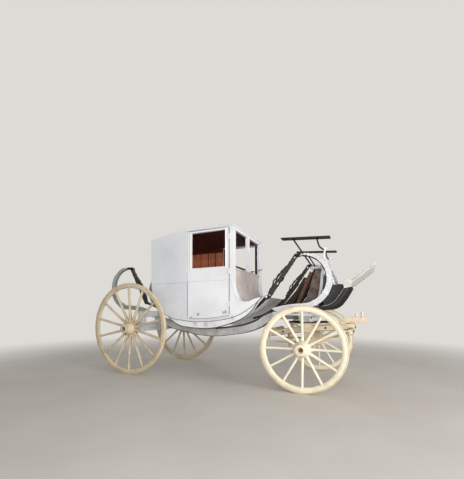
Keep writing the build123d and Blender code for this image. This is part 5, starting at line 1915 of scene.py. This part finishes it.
@dataclass(frozen=True)
class Ironwork:
    """Bolts, plates and bands of the running gear, the loops' knobs and the window's loose bar."""

    bolts: tuple[tuple[str, Place, Place, float], ...] = (
        # body, place, the way out, radius; each is made on both sides
        ("carriage", (1.209, 0.400, 0.975), (0, 0, 1), 0.013),
        ("carriage", (1.209, 0.250, 0.975), (0, 0, 1), 0.013),
        ("carriage", (1.269, 0.440, 0.900), (1, 0, 0), 0.011),
        ("carriage", (1.269, 0.440, 0.840), (1, 0, 0), 0.011),
        ("carriage", (0.842, 0.300, 0.910), (0, 0, 1), 0.011),
        ("fore_carriage", (1.257, 0.400, 0.600), (1, 0, 0), 0.011),
        ("fore_carriage", (1.257, 0.220, 0.690), (1, 0, 0), 0.011),
        ("fore_carriage", (1.161, 0.400, 0.600), (-1, 0, 0), 0.011),
        ("fore_carriage", (1.560, 0.1575, 0.716), (0, 1, 0), 0.010),
        ("fore_carriage", (1.400, 0.1575, 0.706), (0, 1, 0), 0.010),
        ("fore_carriage", (0.860, 0.1575, 0.645), (0, 1, 0), 0.010),
        ("fore_carriage", (1.733, 0.350, 0.690), (1, 0, 0), 0.009),
        ("fore_carriage", (1.733, 0.500, 0.690), (1, 0, 0), 0.009),
        ("fore_carriage", (0.730, 0.250, 0.690), (0, 0, 1), 0.010),
    )
    splinter_bar: Point = (1.702, 0.690)
    bands: tuple[float, ...] = (-0.585, -0.310, 0.310, 0.585)
    band: Span = (0.030, 0.034)
    band_half: float = 0.013
    futchell: tuple[Point, ...] = ((0.640, 0.612), (1.209, 0.697), (1.530, 0.712), (1.680, 0.7294))
    futchell_depth: float = 0.0325
    plate: float = 0.007
    perch: tuple[Point, ...] = (
        # the perch's middle line, a run of arcs from the rear
        (-1.378, 0.803), (-0.998, 0.692), (-0.638, 0.621), (-0.288, 0.592), (0.080, 0.630),
        (0.300, 0.668), (0.500, 0.748), (0.610, 0.822), (0.760, 0.858),
    )
    rear_board: tuple[Point, ...] = (
        (-1.248, 0.930), (-1.000, 0.921), (-0.962, 0.890), (-0.990, 0.842), (-1.248, 0.826),
    )
    knob: Place = (0.728, 0.481, 1.098)
    bar: tuple[Place, ...] = ((0.330, 0.056, 1.500), (0.330, 0.208, 1.520), (0.330, 0.545, 1.598))
    bar_end: tuple[Place, ...] = ((0.330, 0.050, 1.499), (0.330, 0.120, 1.508))

    def build(self) -> None:
        """Build all of it."""
        for body in ("carriage", "fore_carriage"):
            shape = Shape(f"{body}_bolts", Finish.RUSTY_IRON, body)
            for rides, place, way, radius in self.bolts:
                for side in Side if rides == body else ():
                    shape.bolt(side.spot(*place), side.spot(*way), radius)
            shape.finished(smooth=30)
        self._bands()
        self._transom()
        self._perch()
        self._knobs()
        self._loose_bar()

    def _bands(self) -> None:
        """Add the iron bands round the splinter bar."""
        shape = Shape("splinter_bar_bands", Finish.RUSTY_IRON, "fore_carriage")
        x, z = self.splinter_bar
        ring = plain_ring(self.band, -self.band_half, self.band_half)
        for y in self.bands:
            shape.lathe(axis_at(Vector((x, y, z)), ACROSS), ring, steps=32)
        shape.finished(smooth=40)

    def _transom(self) -> None:
        """Add the pale boards on the transom, a dark box behind them as painted shade in their gaps, and the
        plates under the futchells.
        """
        shape = Shape("transom_boards", Finish.SPRING_WHITE, bevel=0.0025)
        for low, high, half in ((0.806, 0.836, 0.400), (0.862, 0.894, 0.4835), (0.922, 0.956, 0.4835)):
            shape.box((1.1460, -half, low), (1.2725, half, high))
        for side in Side:
            near, far = side.span(0.405, 0.4835)
            for low, high in ((0.866, 0.892), (0.926, 0.948)):
                shape.box((1.000, near, low), (1.150, far, high))
        shape.finished()
        # Painted shade: a dark grey box behind the boards, so that the gaps between them read as shade.
        shade = Shape("transom_painted_shade", Finish.SEAM)
        shade.box((1.1475, -0.4790, 0.862), (1.2705, 0.4790, 0.952))
        for side in Side:
            near, far = side.span(0.410, 0.4790)
            shade.box((1.006, near, 0.872), (1.148, far, 0.942))
        shade.finished()
        # Partly painted shade: iron plates under the futchells, whose dark edge also stands for the shadow
        # line beneath them.
        plates = Shape("futchell_plates", Finish.BLACK_IRON, "fore_carriage", bevel=0.001)
        below = [(x, z - self.futchell_depth - self.plate / 2) for x, z in self.futchell]
        for side in Side:
            plates.sweep(side.at(0.130, below), rounded_strip(self.plate, 0.050, 0.002))
        plates.finished(smooth=40)

    def _perch(self) -> None:
        """Add the dark iron under the perch, a dark strip on its top as painted shadow below the body, and
        the pale boards before the rear springs' blocks.
        """
        first, *rest = arcs(self.perch)
        route = through(*first, 16)
        for bend in rest:
            route += through(*bend, 12)[1:]
        for name, away, thick, start, finish in (
            ("perch_strap", 0.055, 0.008, -1.225, Finish.BLACK_IRON),
            # painted shadow: the top strip darkens the gap between the body's underside and the perch
            ("perch_top_shadow_strip", -0.0635, 0.026, -0.260, Finish.SEAM),
        ):
            strap = Shape(name, finish)
            path = [Vector((x, 0, z)) for x, z in alongside(route, away) if x > start]
            strap.sweep(path, rounded_strip(thick, 0.096, 0.002))
            strap.finished(smooth=40)
        blocks = Shape("rear_spring_boards", Finish.SPRING_WHITE, bevel=0.0025)
        for side in Side:
            blocks.prism(self.rear_board, *side.span(0.430, 0.470))
        blocks.finished()

    def _knobs(self) -> None:
        """Add the bright round knob on each front loop's pin."""
        shape = Shape("loop_knobs", Finish.BRIGHT_IRON)
        profile = [(0.010, 0.0), (0.012, 0.006), (0.019, 0.010), (0.021, 0.017), (0.018, 0.024)]
        profile.append((0.009, 0.029))
        for side in Side:
            shape.stud(axis_at(side.spot(*self.knob), side.spot(0, 1, 0)), profile, 24)
        shape.finished(smooth=60)

    def _loose_bar(self) -> None:
        """Add the dark bar that lies along the foot of the left front window."""
        shape = Shape("window_loose_bar", Finish.BLACK_IRON)
        shape.tube([Vector(place) for place in self.bar], 0.006, 10)
        shape.tube([Vector(place) for place in self.bar_end], 0.011)
        shape.finished(smooth=60)


@dataclass(frozen=True)
class Studio:
    """The camera, the floor and the lamps."""

    place: Place = (1.829, -3.939, 0.928)
    yaw: float = 0.4288
    pitch: float = 0.0138
    roll: float = -0.0013
    image: tuple[int, int] = (464, 479)
    focal: float = 287.14
    axis_pixel: Point = (231.5, 306.5)
    sensor: float = 36.0
    backdrop: Rgb = srgb(222, 219, 214)
    fade: Span = (2.8, 7.5)
    sky_light: float = 0.34
    floor_reach: float = 60
    sight: float = 100
    lamps: tuple[tuple[str, Place, Place, float, float], ...] = (
        # name, place, what it points at, size, power; the key stands beside the camera
        ("key", (3.0, -5.4, 2.2), (0.4, 0.0, 0.9), 2.8, 100.0),
        ("low_fill", (3.8, -6.2, 1.1), (0.6, 0.0, 0.95), 3.0, 120.0),
        ("rear_fill", (-4.6, -4.4, 2.4), (-0.6, 0.0, 0.8), 3.0, 14.0),
        ("front_fill", (7.6, -3.0, 2.3), (0.8, 0.0, 1.0), 3.6, 330.0),
        ("rim", (-1.5, 4.5, 3.8), (0.0, 0.0, 1.0), 3.0, 45.0),
    )

    def build(self) -> None:
        """Build the whole studio."""
        self._camera()
        self._floor()
        self._world()
        self._lamps()
        bpy.context.scene.view_settings.view_transform = "Standard"

    def _camera(self) -> None:
        """Set the camera where the photograph was taken from."""
        data = bpy.data.cameras.new("camera")
        data.sensor_width = self.sensor
        longest = max(self.image)
        data.lens = self.focal / longest * self.sensor
        data.shift_x = (self.image[0] / 2 - self.axis_pixel[0]) / longest
        data.shift_y = (self.axis_pixel[1] - self.image[1] / 2) / longest
        data.clip_end = self.sight
        camera = bpy.data.objects.new("camera", data)
        look = polar(math.cos(self.pitch), self.yaw + math.pi / 2, math.sin(self.pitch))
        level = polar(1.0, self.yaw)
        above = level.cross(look)
        right = level * math.cos(self.roll) + above * math.sin(self.roll)
        up = above * math.cos(self.roll) - level * math.sin(self.roll)
        camera.matrix_world = base_of(right, up, -look, Vector(self.place))
        bpy.context.scene.collection.objects.link(camera)
        bpy.context.scene.camera = camera

    def _floor(self) -> None:
        """Build the pale floor, which fades into the backdrop far out."""
        mesh = bmesh.new()
        bmesh.ops.create_grid(mesh, x_segments=2, y_segments=2, size=self.floor_reach)
        data = bpy.data.meshes.new("studio_floor")
        mesh.to_mesh(data)
        mesh.free()
        floor = bpy.data.objects.new("studio_floor", data)
        bpy.context.scene.collection.objects.link(floor)
        material, net, shader = _new_material("studio floor")
        place = net.place()
        patch = net.window(net.noise(place, 1.2, 5.0, 0.6), 0.3, 0.7)
        net.feed(shader.inputs["Base Color"], net.blend(patch, srgb(206, 201, 194), srgb(200, 194, 186)))
        shader.inputs["Roughness"].default_value = 0.9
        away = net.vector("LENGTH", place).outputs["Value"]
        camera_ray = net.node("ShaderNodeLightPath").outputs["Is Camera Ray"]
        glow = net.node("ShaderNodeEmission", {"Color": self.backdrop})
        fade = net.node("ShaderNodeMixShader")
        share = net.times(net.window(away, *self.fade), camera_ray)
        for socket, value in zip(fade.inputs, (share, shader.outputs[0], glow.outputs[0])):
            net.feed(socket, value)
        net.feed(material.node_tree.nodes["Material Output"].inputs["Surface"], fade.outputs[0])
        data.materials.append(material)

    def _world(self) -> None:
        """Build the pale world that the floor runs out to, which lights the carriage softly."""
        world = bpy.data.worlds.new("studio world")
        world.use_nodes = True
        net = Net(world.node_tree)
        ground = world.node_tree.nodes["Background"]
        rays = net.node("ShaderNodeLightPath").outputs
        seen = net.math("MAXIMUM", rays["Is Camera Ray"], rays["Is Glossy Ray"])
        seen = net.math("MAXIMUM", seen, rays["Is Transmission Ray"])
        net.feed(ground.inputs["Color"], net.blend(seen, srgb(255, 255, 255), self.backdrop))
        strength = net.math("ADD", self.sky_light, net.times(seen, 1 - self.sky_light))
        net.feed(ground.inputs["Strength"], strength)
        bpy.context.scene.world = world

    def _lamps(self) -> None:
        """Build the soft lamps."""
        for name, place, aim, size, power in self.lamps:
            data = bpy.data.lights.new(name, "AREA")
            data.shape = "DISK"
            data.size = size
            data.energy = power
            lamp = bpy.data.objects.new(name, data)
            lamp.location = place
            lamp.visible_camera = False
            lamp.rotation_euler = (Vector(aim) - Vector(place)).to_track_quat("-Z", "Y").to_euler()
            bpy.context.scene.collection.objects.link(lamp)


# The stems of the frame's nodes that take each finish.
NODE_FINISHES: dict[Finish, str] = {
    Finish.QUARTER_WHITE: "roof back_panel quarter_panel",
    Finish.UNDERSIDE: "bottom_panel",
    Finish.BODY_GREY: "front_panel",
    Finish.BODY_WHITE: "front_frame front_quarter rocker door",
    Finish.FLOOR_WOOD: "floor_board seat_bench",
    Finish.GEAR_GREY: "rear_axle rear_axle_bed perch transom horn_bar",
    Finish.BLACK_IRON: "wheel_plate_upper kingpin seat_rail body_loop",
    Finish.GEAR_CREAM: (
        "wheel_plate_lower front_axle front_axle_bed futchells splinter_bar pole_head sway_bar"
    ),
    Finish.FOOT_DARK: "footboard",
    Finish.CHEEK_GREEN: "footboard_cheek",
    Finish.TOE_WOOD: "toe_board",
    Finish.BOOT_WOOD: "boot_board",
    Finish.SPRING_WHITE: "seat_standard",
}

# The stems of the plain timbers whose edges are rounded by each width.
SOFTENED: dict[float, str] = {
    0.006: "roof",
    0.004: "rear_axle_bed perch transom horn_bar front_axle_bed futchells",
    0.003: "pole_head footboard",
    0.002: "sway_bar footboard_cheek toe_board seat_bench floor_board",
    0.0015: "seat_rail door rocker",
}


def choice(name: str, table: dict) -> Finish | float | None:
    """Find what a table says for a node.

    Args:
        name: The node's name.
        table: The table, from what is chosen to the stems that it is for.

    Returns:
        What is chosen for the node, if anything.
    """
    stem = name
    for ending in ("_right", "_left", "_front", "_rear"):
        stem = stem.removesuffix(ending)
    chosen = {each: value for value, stems in table.items() for each in stems.split()}
    return chosen.get(name, chosen.get(stem))


def dress_nodes(nodes: dict[str, bpy.types.Object]) -> None:
    """Give every node of the frame its finish, and the plain timbers their rounded edges.

    Args:
        nodes: The frame's nodes by name.
    """
    for name, node in nodes.items():
        finish, width = choice(name, NODE_FINISHES), choice(name, SOFTENED)
        if finish is not None:
            if not node.material_slots:
                node.data.materials.append(None)
            for slot in node.material_slots:
                slot.material = finish.material()
        if width is not None:
            round_edges(node, width, 35)


def main() -> None:
    """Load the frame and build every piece."""
    logging.basicConfig(level=logging.INFO, format="%(name)s: %(message)s")
    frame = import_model()
    Studio().build()
    dress_nodes(frame["nodes"])
    for side in Side:
        WheelPiece(End.FRONT, side, 12).build()
        WheelPiece(End.REAR, side, 14, foot=(0.025, 0.0205), tongue=(0.018, 0.017)).build()
    for end, side in product(End, Side):
        SpringPiece(end, side).build()
        BracePiece(end, side).build()
    for piece in (BodyTrim(), Lining(), Boot(), SeatFrame(), Footwell(), Ironwork()):
        piece.build()


if __name__ == "__main__":
    main()
